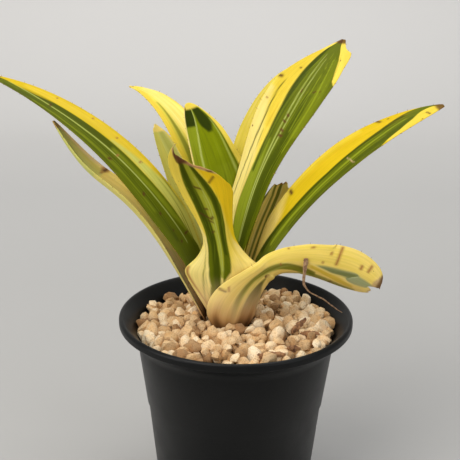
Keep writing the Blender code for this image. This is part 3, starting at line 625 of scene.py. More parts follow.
# Each leaf's colours, with places in percent: ground, bands as (colour, stations along s, the u of their
# two edges, softness, strength), fine lines as (colour, count, spread of u, run of s, width, strength),
# and scars by colour as (u, s, u, s, thickness)
MARKINGS = {
    "leaf_far_left": dict(ground="gold", bands=[
        ("yellow", [50, 90], [5, 10], [32, 34], 8, 0.35),
        ("mint", [0, 34, 45, 54, 62], [0, 0, 6, 18, 28], [60, 26, 31, 32, 34], 5, 0.75),
        ("green", [0, 25, 30, 35, 40, 50, 60, 70, 80, 87, 93, 97.5, 100], [5, 8, 20, 25, 28.5, 33, 34.5, 36,
            37, 36, 36, 30, 20], 110),
        ("dark", [50, 70, 84, 90], [39, 38.5, 40, 44], [50, 55, 54, 46], 4, 0.6),
        ("dark", [30, 50, 70, 90], [62, 62, 64, 66], [72, 80, 78, 84], 5, 0.5),
        ("dark", [55, 85, 95], [88, 90, 70], [93, 96, 95], 3, 0.5),
        ("lime", [28, 36, 50, 60], [13, 30, 40, 42], [20, 40, 50, 52], 3, 0.5),
        ("lime", [40, 70, 85], [72, 80, 86], [78, 86, 90], 3, 0.4),
        ("mint", [28, 35, 40, 50, 60, 70, 80, 85, 90, 94], [37, 43.5, 47, 51, 54.5, 57.5, 58.5, 55.5, 49, 36],
            [38.5, 45.5, 49, 53.5, 57.5, 60.5, 61.5, 59, 53, 42], 1.4, 0.85),
        ("gold", [80, 86, 92, 95.5], [36, 34, 20, 10], [37, 46, 48, 34], 5, 0.8),
        ("brown", [98, 100], -10, 110, 2, 0.8),
    ], lines=[
        ("green", 9, (2, 26), (10, 50), 0.8, 0.75), ("lime", 9, (38, 95), (20, 95), 0.6, 0.5),
        ("dark", 9, (38, 95), (20, 95), 0.6, 0.6), ("orange", 4, (6, 30), (50, 95), 1, 0.3)
    ], scars=[
        ("brown", (75, 58.5, 80, 58.8, 0.9), (68, 45.5, 73, 45.2, 0.8), (64, 38.5, 66, 38.3, 0.7),
            (58, 32.6, 60, 32.5, 0.5), (52, 28.8, 56, 28.6, 0.7), (22, 30, 32, 29.8, 0.6),
            (50, 81, 62, 80.8, 0.6)),
        ("rust", (18, 52.7, 23, 52.7, 0.5), (14, 61.7, 17, 61.7, 0.5), (10, 70, 13, 70, 0.5),
            (10, 81, 14, 81, 0.5), (48, 58, 55, 58, 0.5))
    ]),
    "leaf_low_left": dict(ground="cream", bands=[
        ("pink", [0, 22, 34, 42], [-10, -10, 20, 60], 110, 12, 0.5),
        ("pink", [76, 82, 97], -10, [5, 14, 20], 6, 0.85),
        ("mint", [74.5, 80, 100], [12, 10, 12], 110, 7, 0.6),
        ("mint", [15, 30, 50, 70, 80, 100], [60, 54, 48, 44, 38, 32], 110, 7, 0.5),
        ("green", [20, 40, 70, 90], [56, 50, 46, 40], [60, 54, 50, 44], 3, 0.5),
        ("rust", [73.8, 74.8, 75.8], -10, [10, 30, 12], 5, 0.8),
        ("rust", [97.5, 100], -10, 110, 2, 0.7),
    ], lines=[
        ("mint", 6, (15, 45), (20, 75), 1.2, 0.4), ("orange", 5, (5, 30), (40, 95), 2, 0.25)
    ], scars=[
        ("brown", (2, 74.5, 10, 74.8, 0.9)),
        ("rust", (22, 27, 17, 23, 0.6), (30, 18, 42, 17.5, 0.6), (20, 22, 50, 21.5, 0.4))
    ]),
    "leaf_back_left": dict(ground="yellow", bands=[
        ("pale", [55, 70, 92], [0, 5, 10], [50, 55, 50], 10, 0.6),
        ("lime", [0, 55, 66, 80], [40, 50, 54, 56], [100, 86, 80, 70], 6, 0.5),
        ("green", [0, 50, 60, 68, 76, 82], [45, 60, 59, 60, 60, 60], [95, 82, 74, 70, 64.5, 61], 3.5, 0.7),
        ("gold", [55, 75, 93], [80, 74, 66], 110, 6, 0.45),
        ("orange", [20, 90], -5, 2, 2, 0.4),
        ("rust", [98.5, 100], -10, 110, 2, 0.6),
    ], lines=[
        ("pale", 6, (10, 60), (30, 90), 2, 0.5), ("gold", 6, (10, 90), (30, 95), 2, 0.3)
    ]),
    "leaf_hooded": dict(ground="leafy", bands=[
        ("lime", [40, 76, 88, 93], [62, 68, 60, 58], 110, 6, 0.85),
        ("lime", [40, 70], 10, [50, 40], 15, 0.3),
        # Painted shade: two dark lobes where the hooded tip folds over and shades the leaf below it
        ("painted_hood_shade", [85.5, 88.5, 91, 97.5], [20, 10, 8, 10], [34, 44, 47, 45], 5, 0.95),
        ("painted_hood_shade", [89.5, 91.5, 97.2], [58, 53, 52], [97, 100, 100], 4, 0.95),
        ("mint", [50, 76, 82, 88, 93, 97.5], [74, 70, 65.5, 58, 51.5, 47], [79, 75, 70, 62.5, 55, 50], 1.4,
            0.85),
        ("mint", [40, 75, 90], [9, 9, 7], [12, 12, 9], 2, 0.6),
        ("dark", [40, 93], 4.5, [7.5, 6.5], 1.2, 0.7),
        ("yellow", [0, 60, 75, 98], -20, [3, 3, 3.5, 5], 1.5),
        ("pale", [0, 97], 96.5, 110),
        ("yellow", [97.5, 100], -10, 110, 2),
    ], lines=[
        ("lime", 12, (10, 95), (40, 88), 0.8, 0.6), ("green", 9, (10, 95), (40, 92), 0.8, 0.7),
        ("dark", 3, (20, 50), (60, 92), 0.8, 0.5)
    ], scars=[
        ("brown", (93, 97.2, 97, 97.5, 0.9))
    ]),
    "leaf_tall": dict(ground="yellow", bands=[
        ("pale", [25, 50, 62, 74], [70, 72, 82, 92], 110, 5, 0.8),
        ("gold", [62, 75, 93], [70, 72, 80], [80, 95, 110], 6, 0.5),
        ("green", [0, 30, 35, 40, 45, 50, 60, 70, 76.5, 79, 81, 85, 90, 94, 97, 99, 100], [5, 0, -10, -10,
            -10, -10, -10, -10, -10, 5, 12, 15, 17, 23, 34, 42, 45], [78, 78.5, 78, 75.5, 73, 70.5, 68.5, 70,
            73, 74, 75, 77.5, 80, 82, 80, 74, 70]),
        ("lime", [25, 40, 50, 58], [50, 52, 55, 60], [78, 75, 70, 67], 4, 0.75),
        ("lime", [60, 90], [10, 18], [30, 34], 6, 0.25),
        ("dark", [0, 30, 50, 62, 75], [20, 18, 14, 28, 36], [43, 43, 43, 42, 44], 6, 0.75),
        ("dark", [48, 60, 70, 80, 90, 95], [64, 62, 63, 66, 71, 76], [69, 68.5, 70, 74.5, 80, 82], 1.8, 0.9),
        ("mint", [28, 50, 60, 70, 80, 90], [43.5, 45, 46.5, 48.5, 51.5, 55], [45.5, 47.5, 48.5, 50, 53, 56],
            1, 0.75),
        ("mint", [28, 50, 60, 70, 80, 92], [47.5, 49.5, 52.5, 54.5, 57.5, 63.5], [49, 52, 54.5, 56, 59, 64.5],
            1, 0.75),
        ("lime", [55, 70, 90], [20, 23.5, 33], [22.5, 26, 35], 1.2, 0.75),
        ("lime", [62, 80, 93], [33, 40, 46], [35, 41.5, 47], 1, 0.6),
        ("green", [35, 50, 60], [80, 78.5, 77.5], [81, 79.5, 78.5], 0.6, 0.7),
        ("dark", [40, 45, 50, 55, 60, 65, 70, 75, 79], [92, 89.5, 87, 85.3, 84.3, 84.3, 85.2, 86.5, 87.4],
            [93.4, 91.1, 88.7, 87.2, 86.2, 86.1, 86.8, 87.7, 87.8], 0.7),
        ("orange", [35, 60, 70], [75.5, 74.5, 75], [76.5, 75.7, 76], 1, 0.5),
        ("brown", [98.5, 100], -10, 110, 2, 0.9),
    ], lines=[
        ("lime", 16, (10, 70), (25, 97), 0.5, 0.6), ("dark", 12, (10, 70), (25, 97), 0.5, 0.6)
    ], scars=[
        ("brown", (50, 66.7, 53, 67.2, 0.8), (49, 64.5, 54, 65, 0.6), (45, 61.5, 50, 62, 0.9),
            (42, 59.8, 48, 60, 0.9), (32, 77, 36, 76.5, 0.5), (24, 77, 25, 77, 0.5),
            (83, 84.2, 85, 84.2, 0.6), (96, 78.7, 100, 78.5, 1.2), (55, 76, 56, 77, 0.5)),
        ("rust", (93, 70, 95, 70, 0.5)),
        ("brown", (10, 90, 12, 90, 0.6))
    ]),
    "leaf_front_cut": dict(ground="yellow", bands=[
        ("pale", [0, 30, 46, 55], 0, [100, 100, 30, 5], 6),
        ("cream", [0, 38, 62], [45, 55, 90], 110, 8),
        ("honey", [60, 72, 82, 100], [98, 78, 66, 48], 110, 6, 0.95),
        ("lime", [36, 50, 70, 85, 100], [44, 40, 38, 36, 30], [52, 58, 60, 52, 44], 2, 0.85),
        ("mint", [40, 55, 75, 90], [47.5, 50, 49, 43], [49, 52, 50.5, 44], 1, 0.8),
        ("mint", [42, 60, 80], [44.5, 45.5, 44], [45.5, 46.8, 45], 1, 0.7),
        ("green", [16, 22, 30, 38, 45, 50, 60, 70, 85, 95, 100], [15, 20, 27, 26, 19, 13, 17, 21, 23, 25, 26],
            [19, 28, 41, 45, 44, 42, 41, 39, 37, 34, 33]),
        ("dark", [28, 40, 55, 70, 100], [33, 32, 22, 24, 27], [40, 44, 40, 38, 32], 3, 0.85),
        ("green", [34, 40, 50, 60, 68, 78, 88, 97, 100], [47, 50, 55, 56, 58, 54, 48, 42, 41], [49, 61, 67,
            72, 74, 70, 60, 49, 46]),
        ("dark", [50, 65, 80, 100], [57, 60, 56, 43], [63, 68, 64, 46], 3, 0.8),
        ("green", [12, 20, 30, 38, 45, 49], [3, 10, 17, 19, 12, 5], [4, 11.5, 19, 20.5, 13, 6], 1, 0.8),
        ("green", [15, 25, 36], [10, 20, 22.5], [11, 21, 23.5], 0.8, 0.5),
        ("dry", [98.6, 100], -10, 110, 2, 0.85),
        ("rust", [97.5, 100], [12, 8], [34, 70], 4, 0.6),
        ("brown", [95.5, 97.5, 100], [20, 16, 12], [27, 34, 42], 3, 0.9),
    ], lines=[
        ("lime", 6, (22, 40), (30, 95), 0.6, 0.45), ("gold", 6, (75, 100), (30, 95), 2, 0.4),
        ("lime", 4, (56, 70), (40, 90), 0.6, 0.4)
    ], scars=[
        ("brown", (66, 98.5, 70, 98.8, 0.9), (60, 90, 70, 95.5, 0.45), (37, 83.5, 44, 83.8, 0.7),
            (24, 66.5, 44, 66.5, 0.6), (44, 66.8, 49, 68.5, 0.6), (38, 71, 43, 72, 0.5),
            (37, 64.5, 46, 65, 0.5), (36, 58, 44, 60, 0.4)),
        ("rust", (2, 36, 12, 16, 0.6)),
        ("brown", (93, 40, 99, 50, 0.5))
    ]),
    "leaf_right": dict(ground="gold", bands=[
        ("cream", [0, 30, 40, 47], [30, 62, 72, 95], 110, 10, 0.9),
        ("yellow", [40, 75], 90, 110, 6, 0.4),
        ("yellow", [80, 88, 93, 100], -10, [20, 50, 80, 110], 6, 0.6),
        ("green", [0, 25, 30, 35, 40, 45, 50, 60, 70, 76, 80, 85, 90, 93, 96, 98.5], [-10, -10, -10, -10, -10,
            -10, -10, -10, -10, 0, 14, 25, 45, 68, 80, 88], [90, 90, 79, 70, 63, 58.5, 56, 55, 58.5, 62.5, 68,
            78, 92, 98, 100, 100], 1.5),
        ("dark", [28, 35, 45, 60, 70, 80, 88], [70, 60, 51, 47, 50, 59, 76], [84, 69, 58, 54.5, 58, 67, 86],
            2, 0.85),
        ("dark", [40, 60, 75, 85, 90], [-10, -10, 2, 28, 50], [30, 27, 32, 45, 60], 5, 0.6),
        ("lime", [32, 50, 60, 70, 80, 88], [48, 34.5, 35.5, 38, 46, 60], [56, 40, 40, 43, 50, 63], 1.8, 0.8),
        ("lime", [40, 60, 80], [30, 28.5, 36], [31.5, 30, 37.5], 1.2, 0.6),
        ("lime", [30, 50, 80], [40, 44, 55], [42, 45, 56], 1.2, 0.5),
        ("brown", [98.2, 100], -10, 110, 2, 0.9),
    ], lines=[
        ("lime", 8, (5, 50), (30, 85), 0.6, 0.5), ("orange", 8, (60, 95), (35, 95), 2, 0.2)
    ], scars=[
        ("dry", (20, 68, 50, 67.4, 0.3)),
        ("brown", (10, 95, 50, 94.5, 0.5), (93, 81.5, 100, 80.8, 0.9), (86, 47.8, 92, 48, 1.1),
            (92, 84, 93, 84, 0.5), (4, 92, 10, 92, 0.5))
    ]),
    "leaf_recurved": dict(ground="cream", bands=[
        ("yellow", [45, 60, 80, 95], [-10, 2, 10, 15], [30, 45, 42, 40], 10, 0.35),
        ("green", [8, 15, 25, 35, 42, 50, 56, 62, 68], [40, 40, 36, 33, 33, 37, 44, 54, 64], [48, 49, 46, 43,
            48, 57, 68, 80, 90], 3, 0.85),
        ("lime", [15, 35, 50, 60], [44, 41, 50, 58], [50, 47, 60, 72], 4, 0.4),
        ("green", [0, 12, 20, 28, 34, 40], [58, 58, 56, 56, 58, 60], [110, 100, 96, 86, 72, 63], 3, 0.95),
        ("dark", [5, 20, 28, 36], [60, 58, 58, 60], [105, 92, 78, 66], 4, 0.9),
        ("grey", [45, 60, 90], [80, 78, 84], 110, 5, 0.6),
        ("lime", [60, 75, 90], [66, 74, 82], 110, 4, 0.5),
        ("green", [66, 75, 85, 90], [70, 76, 82, 86], [84, 92, 96, 98], 4, 0.6),
        ("fleck", [68, 72, 80, 88, 94, 96.5], [45.5, 43, 41, 40, 43, 46], [47.5, 52, 60, 65, 62, 56], 3.5,
            0.95),
        ("green", [69, 74, 80, 84], [45.5, 44, 44, 46], [48, 54, 58, 56], 4, 0.55),
        ("cream", [65.5, 70, 78, 86, 93], [40, 48, 56, 64, 70], [44, 58, 70, 78, 82], 2, 0.9),
        ("gold", [66, 72, 80, 88], [46, 54, 62, 70], [54, 64, 74, 80], 2, 0.7),
        ("pale", [65.5, 69, 75, 82, 90], [40, 47, 54.5, 60, 65], [41.5, 49, 56.5, 62, 67], 1.2, 0.9),
        ("dry", [96.5, 98.5, 100], [30, -10, -10], 110, 5, 0.85),
        ("brown", [98.5, 100], -10, 110, 2, 0.85),
    ], lines=[
        ("mint", 5, (36, 60), (20, 60), 1.2, 0.5), ("yellow", 6, (2, 35), (30, 90), 3, 0.5),
        ("orange", 3, (2, 30), (10, 60), 1.2, 0.3)
    ], scars=[
        ("rust", (3, 77.5, 34, 77, 0.7), (14, 73.7, 18, 73.7, 0.6), (20, 88, 26, 88, 0.8),
            (10, 92, 24, 91.5, 0.7), (34, 71, 37, 71, 0.5)),
        ("brown", (2, 26.2, 14, 26, 0.5)),
        ("rust", (12, 28, 18, 26.5, 0.5)),
        ("brown", (80, 77.5, 88, 77, 0.8)),
        ("rust", (3, 56, 5, 56, 0.5), (38, 51, 44, 51, 0.5), (6, 65.5, 8, 65.5, 0.6))
    ]),
    "leaf_stub_right": dict(ground="pale", bands=[
        ("yellow", [0, 80, 100], -10, [40, 38, 44], 5, 0.5),
        ("green", [0, 80, 90, 100], [46, 46, 47, 58], [60, 59, 62, 74], 2, 0.9),
        ("cream", [0, 80, 90, 100], [60, 59, 62, 74], [68, 68, 70, 86], 2, 0.8),
        ("green", [0, 80, 90, 100], [68, 67, 70, 86], [76, 75, 79, 96], 2, 0.85),
        ("cream", [0, 90], [78, 80], [90, 92], 3, 0.8),
        ("green", [0, 90, 100], [92, 94, 100], 110, 2, 0.85),
        ("rust", [98.5, 100], -10, 110, 2, 0.7),
    ], lines=[
        ("mint", 6, (40, 90), (20, 97), 1.2, 0.5)
    ]),
    "leaf_stub_left": dict(ground="yellow", bands=[
        ("grey", [0, 85, 100], [15, 10, 5], 60, 8, 0.7),
        ("lime", [50, 100], 20, 50, 10, 0.5),
        ("mint", [20, 97], 50, 110, 6, 0.6),
        ("cream", [95.5, 100], -10, 110, 3, 0.8),
    ], lines=[
        ("mint", 6, (10, 90), (20, 97), 1.5, 0.4)
    ]),
    "leaf_back": dict(ground="yellow", bands=[
        ("green", [0, 60, 95], [25, 22, 30], [62, 60, 56], 2, 0.9),
        ("lime", [20, 70, 100], [60, 64, 60], 110, 6, 0.22),
        ("brown", [98.5, 100], -10, 110, 2, 0.8),
    ], lines=[
        ("lime", 10, (20, 62), (20, 97), 0.6, 0.5), ("pale", 5, (60, 95), (30, 97), 1.5, 0.4)
    ]),
    "old_sheath": dict(ground="pink", bands=[
        ("dry", [80, 100], 0, 100, 5, 0.7),
        ("lime", [0, 80], [30, 40], [70, 60], 10, 0.3),
    ], lines=[
        ("dry", 8, (5, 95), (0, 100), 2, 0.5)
    ]),
}


def leaf_paint(name, s, u, from_margin, height, size, rng):
    """The leaf's markings as a colour for each point, with the stain where the leaf leaves the soil."""
    marks = MARKINGS[name]
    across = u + 0.004 * np.sin(9.0 * s + 2.0) + 0.003 * np.sin(23.0 * s)
    paint = np.zeros(s.shape + (3,)) + np.array(PAINT[marks["ground"]])
    for entry in marks["bands"]:
        paint = band(paint, s, across, *entry)
    for entry in marks["lines"]:
        paint = pinstripes(paint, s, across, rng, *entry)
    for colour, *places in marks.get("scars", []):
        for place in places:
            paint = scar(paint, s, u, size, colour, place)
    ragged = height + 2.2 * np.sin(11.0 * u + 3.0) + 1.2 * np.sin(29.0 * u)
    for colour, full, end, strength in STAINS:
        paint = painted(paint, colour, (1.0 - eased(full, end, ragged)) * strength)
    edge = np.clip(1.0 - from_margin / 0.012, 0.0, 1.0) * 0.12 * eased(0.3, 0.5, s)
    return painted(paint, "rust", edge)


def stand_out(name, s, v):
    """v moved with the leaf's own margins: its two factors run through MARGINS, as running means along s."""
    at, low, high = 0.01 * np.array(MARGINS.get(name, [(0, 100, 100)])).T
    near = np.linspace(-0.02, 0.02, 7)
    low, high = (np.mean([np.interp(s + k, at, side) for k in near], axis=0) for side in (low, high))
    return v * np.where(v < 0.0, low, high)


def make_leaf(name, horn):
    """One leaf: its skin and its spines as one piece. Its middle surface comes back."""
    leaf = LEAF_USUAL | LEAVES[name]
    rng = np.random.default_rng(sum(map(ord, name)))
    length, width = midrib(leaf)[3], max(leaf["widths"])
    s, v = np.meshgrid(np.linspace(0, 1, int(length / ROW_PITCH)), np.linspace(-1, 1, COLUMNS), indexing="ij")
    thickness = THICK_MARGIN + (THICK_MIDDLE - THICK_MARGIN) * (1.0 - v ** 4)
    from_margin = 0.5 - 0.5 * np.abs(v)
    v = stand_out(name, s, v)
    u = 0.5 + 0.5 * v
    s = s * (1.0 - np.interp(u, *(0.01 * np.array(ENDS.get(name, [(0, 0)])).T)))
    middle = leaf_surface(name, leaf, s, v)
    points, faces = leaf_shell(middle, thickness)
    paint = leaf_paint(name, s, u, from_margin, middle[..., 2], np.array([width, length]), rng)
    paint = both_sides(paint, paint)
    uv = np.stack([u, s], axis=-1)
    uv = both_sides(uv, uv)
    tipward = np.zeros(len(points))
    skin_faces = sum(len(f) for f in faces)
    if leaf["spines"]:
        cones, sides, share = spine_rows(middle, length, rng)
        faces = faces + [f + len(points) for f in sides]
        points = np.concatenate([points, cones])
        tipward = np.append(tipward, share)
        paint = np.concatenate([paint, np.zeros((len(cones), 3))])
        uv = np.concatenate([uv, np.zeros((len(cones), 2))])
    on_spine = np.arange(sum(len(f) for f in faces)) >= skin_faces
    obj = mesh_from(name + "_blade", points, faces, [leaf_finish(name + "_skin", length, width), horn],
                    on_spine, uv, {"markings": paint, "tipward": tipward})
    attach(obj, "root")
    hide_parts(name)
    return middle


def arc(centre_x, centre_z, radius, start, end, count):
    """Points on a circle in the profile plane, angles in degrees from +X towards +Z."""
    angle = np.radians(np.linspace(start, end, count))
    return np.stack([centre_x + radius * np.cos(angle), centre_z + radius * np.sin(angle)], axis=1)


def flare(outer, count=14):
    """The shoulder from the wall out to the bead: a quarter of the growth is even, the rest by the square."""
    foot = SHOULDER_RADIUS if outer else SHOULDER_RADIUS - WALL
    head = RIM_RADIUS - BEAD_TOP if outer else RIM_RADIUS - RIM_LAND
    top = POT_HEIGHT - RIM_BEAD if outer else POT_HEIGHT - LIP
    share = np.linspace(0.0, 1.0, count)
    radius = foot + (head - foot) * (0.25 * share + 0.75 * share * share)
    return np.stack([radius, SHOULDER_Z + share * (top - SHOULDER_Z)], axis=1)


def turned(name, profile, sides, surface):
    """A closed body turned about Z from a profile of (radius, height) that starts and ends on the axis."""
    angle = np.arange(sides) * math.tau / sides
    radius, height = profile[1:-1].T
    level = radius[:, None, None] * np.stack([np.cos(angle), np.sin(angle)], axis=1)
    points = np.concatenate([level, np.broadcast_to(height[:, None, None], level.shape[:2] + (1,))], axis=2)
    points = np.concatenate([points.reshape(-1, 3), [[0, 0, profile[0][1]], [0, 0, profile[-1][1]]]])
    k = np.arange(sides)
    after = (k + 1) % sides
    first, last = len(points) - 2, (len(profile) - 3) * sides
    lid = np.stack([first + 0 * k, k, after], axis=1)
    foot = np.stack([last + after, last + k, first + 1 + 0 * k], axis=1)
    return mesh_from(name, points, [loop_faces(len(profile) - 2, sides), lid, foot], [surface], sharp=40)


def make_pot(surface):
    """The pot as a fine turning of the CAD profile, with its drain holes cut through the floor."""
    profile = np.concatenate([
        [(0.0, FLOOR), (BASE_RADIUS - WALL - FLOOR_ROUND, FLOOR), (BASE_RADIUS - WALL, FLOOR + FLOOR_ROUND)],
        [(STEP_RADIUS - WALL, STEP_Z), (STEP_RADIUS + STEP_OUT - WALL, STEP_Z + STEP_INSIDE)], flare(False),
        arc(RIM_RADIUS - BEAD_TOP, POT_HEIGHT - BEAD_TOP, BEAD_TOP, 90, 0, 9),
        arc(RIM_RADIUS - BEAD_FOOT, POT_HEIGHT - RIM_BEAD + BEAD_FOOT, BEAD_FOOT, 0, -90, 6),
        flare(True)[::-1], [(STEP_RADIUS + STEP_OUT, STEP_Z + STEP_OUTSIDE), (STEP_RADIUS, STEP_Z)],
        arc(BASE_RADIUS - FOOT_ROUND, FOOT_ROUND, FOOT_ROUND, 0, -90, 6), [(0.0, 0.0)]])
    pot = turned("pot_shell", profile, POT_SIDES, surface)
    pot.data.flip_normals()
    cutters = []
    for number in range(DRAIN_HOLES):
        angle = math.tau * (number + 0.4) / DRAIN_HOLES
        place = DRAIN_RING * MM * math.cos(angle), DRAIN_RING * MM * math.sin(angle), 0.0
        mesh = bpy.data.meshes.new("drain_cutter")
        form = bmesh.new()
        bmesh.ops.create_cone(
            form, cap_ends=True, segments=24, radius1=DRAIN_RADIUS * MM, radius2=DRAIN_RADIUS * MM,
            depth=4 * FLOOR * MM, matrix=Matrix.Translation(place))
        form.to_mesh(mesh)
        form.free()
        cutters.append(bpy.data.objects.new("drain_cutter", mesh))
        bpy.context.scene.collection.objects.link(cutters[-1])
        cut = pot.modifiers.new("Drain", "BOOLEAN")
        cut.operation = "DIFFERENCE"
        cut.object = cutters[-1]
    pot.data = bpy.data.meshes.new_from_object(pot.evaluated_get(bpy.context.evaluated_depsgraph_get()))
    pot.modifiers.clear()
    for cutter in cutters:
        bpy.data.objects.remove(cutter, do_unlink=True)
    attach(pot, "root")
    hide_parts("pot")


def wall_radius(height):
    """Inside radius of the pot at a height, shoulder included."""
    shoulder = flare(False)
    heights = np.append([FLOOR, STEP_Z, STEP_Z + STEP_INSIDE], shoulder[:, 1])
    radii = [BASE_RADIUS - WALL, STEP_RADIUS - WALL, STEP_RADIUS + STEP_OUT - WALL]
    return np.interp(height, heights, np.append(radii, shoulder[:, 0]))


def bed_height(radius):
    """The bed's surface: a low crown that falls towards the wall."""
    return BED_Z + BED_CROWN * (1.0 - (radius / SHOULDER_RADIUS) ** 2)


def unit_ball():
    """Points and triangles of a ball of radius 1 with even triangles."""
    form = bmesh.new()
    bmesh.ops.create_icosphere(form, subdivisions=2, radius=1.0)
    form.verts.index_update()
    points = np.array([list(corner.co) for corner in form.verts])
    triangles = np.array([[corner.index for corner in face.verts] for face in form.faces])
    form.free()
    return points, triangles


def random_turns(rng, count):
    """Rotation matrices spread evenly over all turns, from unit quaternions."""
    w, x, y, z = unit(rng.normal(size=(count, 4))).T
    return np.stack([
        1 - 2 * (y * y + z * z), 2 * (x * y - w * z), 2 * (x * z + w * y),
        2 * (x * y + w * z), 1 - 2 * (x * x + z * z), 2 * (y * z - w * x),
        2 * (x * z - w * y), 2 * (y * z + w * x), 1 - 2 * (x * x + y * y)], axis=1).reshape(-1, 3, 3)


def grain_shapes(rng, sizes):
    """Broken stone shapes: a ball cut back by random flats, stretched, turned and set to its size.

    A point p in the unit ball is drawn in to p / max(1, p·n / d) over the random flats (n, d).
    """
    ball, triangles = unit_ball()
    count = len(sizes)
    flats = unit(rng.normal(size=(count, GRAIN_FLATS, 3)))
    depth = rng.uniform(*FLAT_DEPTHS, (count, 1, GRAIN_FLATS))
    beyond = np.einsum("vk,cfk->cvf", ball, flats) / depth
    shapes = ball / np.maximum(beyond.max(axis=2), 1.0)[..., None]
    shapes = shapes * (1.0 + rng.uniform(-0.03, 0.03, (count, len(ball), 1)))
    shapes = shapes * rng.uniform(*GRAIN_STRETCH, (count, 1, 3))
    shapes = np.einsum("cvk,cjk->cvj", shapes, random_turns(rng, count))
    shapes = shapes * (GRAIN_RADIUS * sizes)[:, None, None]
    faces = triangles + (np.arange(count) * len(ball))[:, None, None]
    return shapes, faces.reshape(-1, 3)


def spread_spots(rng, count, sizes, near_plant, wall, rounds=60):
    """Places for grains, pushed apart from each other, the leaf bases and the wall, round by round."""
    radius = wall * np.sqrt(rng.random(count))
    angle = rng.uniform(0.0, math.tau, count)
    spots = np.stack([radius * np.cos(angle), radius * np.sin(angle)], axis=1)
    need = GRAIN_NEAR * (sizes[:, None] + sizes[None])
    own = GRAIN_HALF * sizes
    rows = np.arange(count)
    for _ in range(rounds):
        apart = spots[:, None] - spots[None]
        gap = np.linalg.norm(apart, axis=2) + 1e-6
        press = np.clip(need - gap, 0.0, None)
        np.fill_diagonal(press, 0.0)
        spots = spots + 0.30 * (apart / gap[..., None] * press[..., None]).sum(axis=1)
        apart = spots[:, None] - near_plant[None]
        gap = np.linalg.norm(apart, axis=2) + 1e-6
        nearest = gap.argmin(axis=1)
        apart, gap = apart[rows, nearest], gap[rows, nearest]
        spots = spots + apart / gap[:, None] * np.clip(own - gap, 0.0, None)[:, None]
        out = np.linalg.norm(spots, axis=1)
        spots = spots * np.minimum(1.0, (wall - own) / np.maximum(out, 1e-6))[:, None]
    return spots


def make_gravel(pumice, bed_soil_and_shade, leaves):
    """The bed, and layers of pumice grains round the leaf bases and inside the wall."""
    rng = np.random.default_rng(11)
    rings = np.linspace(0.0, 1.0, 16) * (wall_radius(BED_Z - BED_CROWN) - FINES_SPACE)
    top = np.stack([rings, bed_height(rings) - FINES_DEPTH], axis=1)
    down = np.array([SHOULDER_Z, STEP_Z + STEP_INSIDE, STEP_Z, FLOOR + FINES_SPACE])
    lower = np.stack([wall_radius(down) - FINES_SPACE, down], axis=1)
    # The bed under the grains is dark: soil colour, and painted shade for the gaps between the grains
    bed = turned("gravel_bed_soil_and_shade", np.concatenate([top, lower, [(0.0, down[-1])]]), BED_SIDES, bed_soil_and_shade)
    bed.data.flip_normals()
    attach(bed, "root")
    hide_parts("gravel")
    clump = np.concatenate([g[(g[..., 2] > CLUMP_LOW) & (g[..., 2] < CLUMP_HIGH)] for g in leaves])[::7, :2]
    points, faces, tints, start = [], [], [], 0
    for count, least, greatest, lift in GRAIN_LAYERS:
        sizes = rng.uniform(least, greatest, count)
        spots = spread_spots(rng, count, sizes, clump, wall_radius(BED_Z + lift))
        height = bed_height(np.linalg.norm(spots, axis=1)) + lift + rng.uniform(-0.7, 0.7, count)
        shapes, triangles = grain_shapes(rng, sizes)
        points.append((shapes + np.column_stack([spots, height])[:, None]).reshape(-1, 3))
        faces.append(triangles + start)
        tints.append(np.repeat(rng.random(count), shapes.shape[1]))
        start += len(points[-1])
    points = np.concatenate(points)
    out = np.linalg.norm(points[:, :2], axis=1)
    inside = wall_radius(points[:, 2]) - GRAIN_SPACE
    points[:, :2] *= np.minimum(1.0, inside / np.maximum(out, 1e-6))[:, None]
    tint = {"tint": np.concatenate(tints)}
    grains = mesh_from("pumice_grains", points, faces, [pumice], values=tint, sharp=38)
    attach(grains, "root")
    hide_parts("gravel")


def ribbon(name, route, widths, thicks, twist, surface, steps=90, around=10, wrinkle=0.0, seed=3):
    """A flat strand along a route: an ellipse carried along a Catmull-Rom line, turned evenly by twist."""
    rng = np.random.default_rng(seed)
    line = smooth_rows(np.array(route, float), np.linspace(0.0, len(route) - 1.0, steps), 0)
    share = np.linspace(0.0, 1.0, steps)

    def spaced(values):
        """Values set evenly along the strand and read at each step."""
        return np.interp(share, np.linspace(0.0, 1.0, len(values)), values)

    line += wrinkle * np.stack([spaced(rng.uniform(-1, 1, 25)) for _ in range(3)], axis=1)
    along = unit(np.gradient(line, axis=0))
    side = unit(np.cross(along, [0.0, 1.0, 0.05]))
    side, up = rolled(side, np.cross(side, along), spaced(twist))
    wide = spaced(widths) * (1 + 0.12 * rng.uniform(-1, 1, steps))
    angle = np.arange(around) * math.tau / around
    rings = line[:, None] + side[:, None] * (0.5 * wide[:, None] * np.cos(angle))[..., None]
    rings = rings + up[:, None] * (0.5 * spaced(thicks)[:, None] * np.sin(angle))[..., None]
    k = np.arange(around)
    lids = np.stack([k, k[::-1] + (steps - 1) * around])
    return mesh_from(name, rings.reshape(-1, 3), [loop_faces(steps, around), lids], [surface], sharp=60)


def make_bark(surface):
    """Four loose chips of bark that lie among the grains in front of the plant and to its right."""
    for number, (x, y, turn, tilt, long) in enumerate(BARK_CHIPS):
        turn = math.radians(turn)
        middle = np.array([x, y, bed_height(math.hypot(x, y)) + CHIP_HEIGHT])
        reach = np.array([0.5 * long * math.cos(turn), 0.5 * long * math.sin(turn), tilt])
        route = [middle + k * reach for k in (-1.0, -0.4, 0.3, 1.0)]
        chip = ribbon(f"bark_chip_{number + 1}", route, (2.0, 3.4, 3.0, 1.2), (1.0, 1.6, 1.3, 0.8), (10, 40),
                      surface, steps=24, around=7, wrinkle=0.35, seed=20 + number)
        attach(chip, "root")
        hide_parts("gravel")


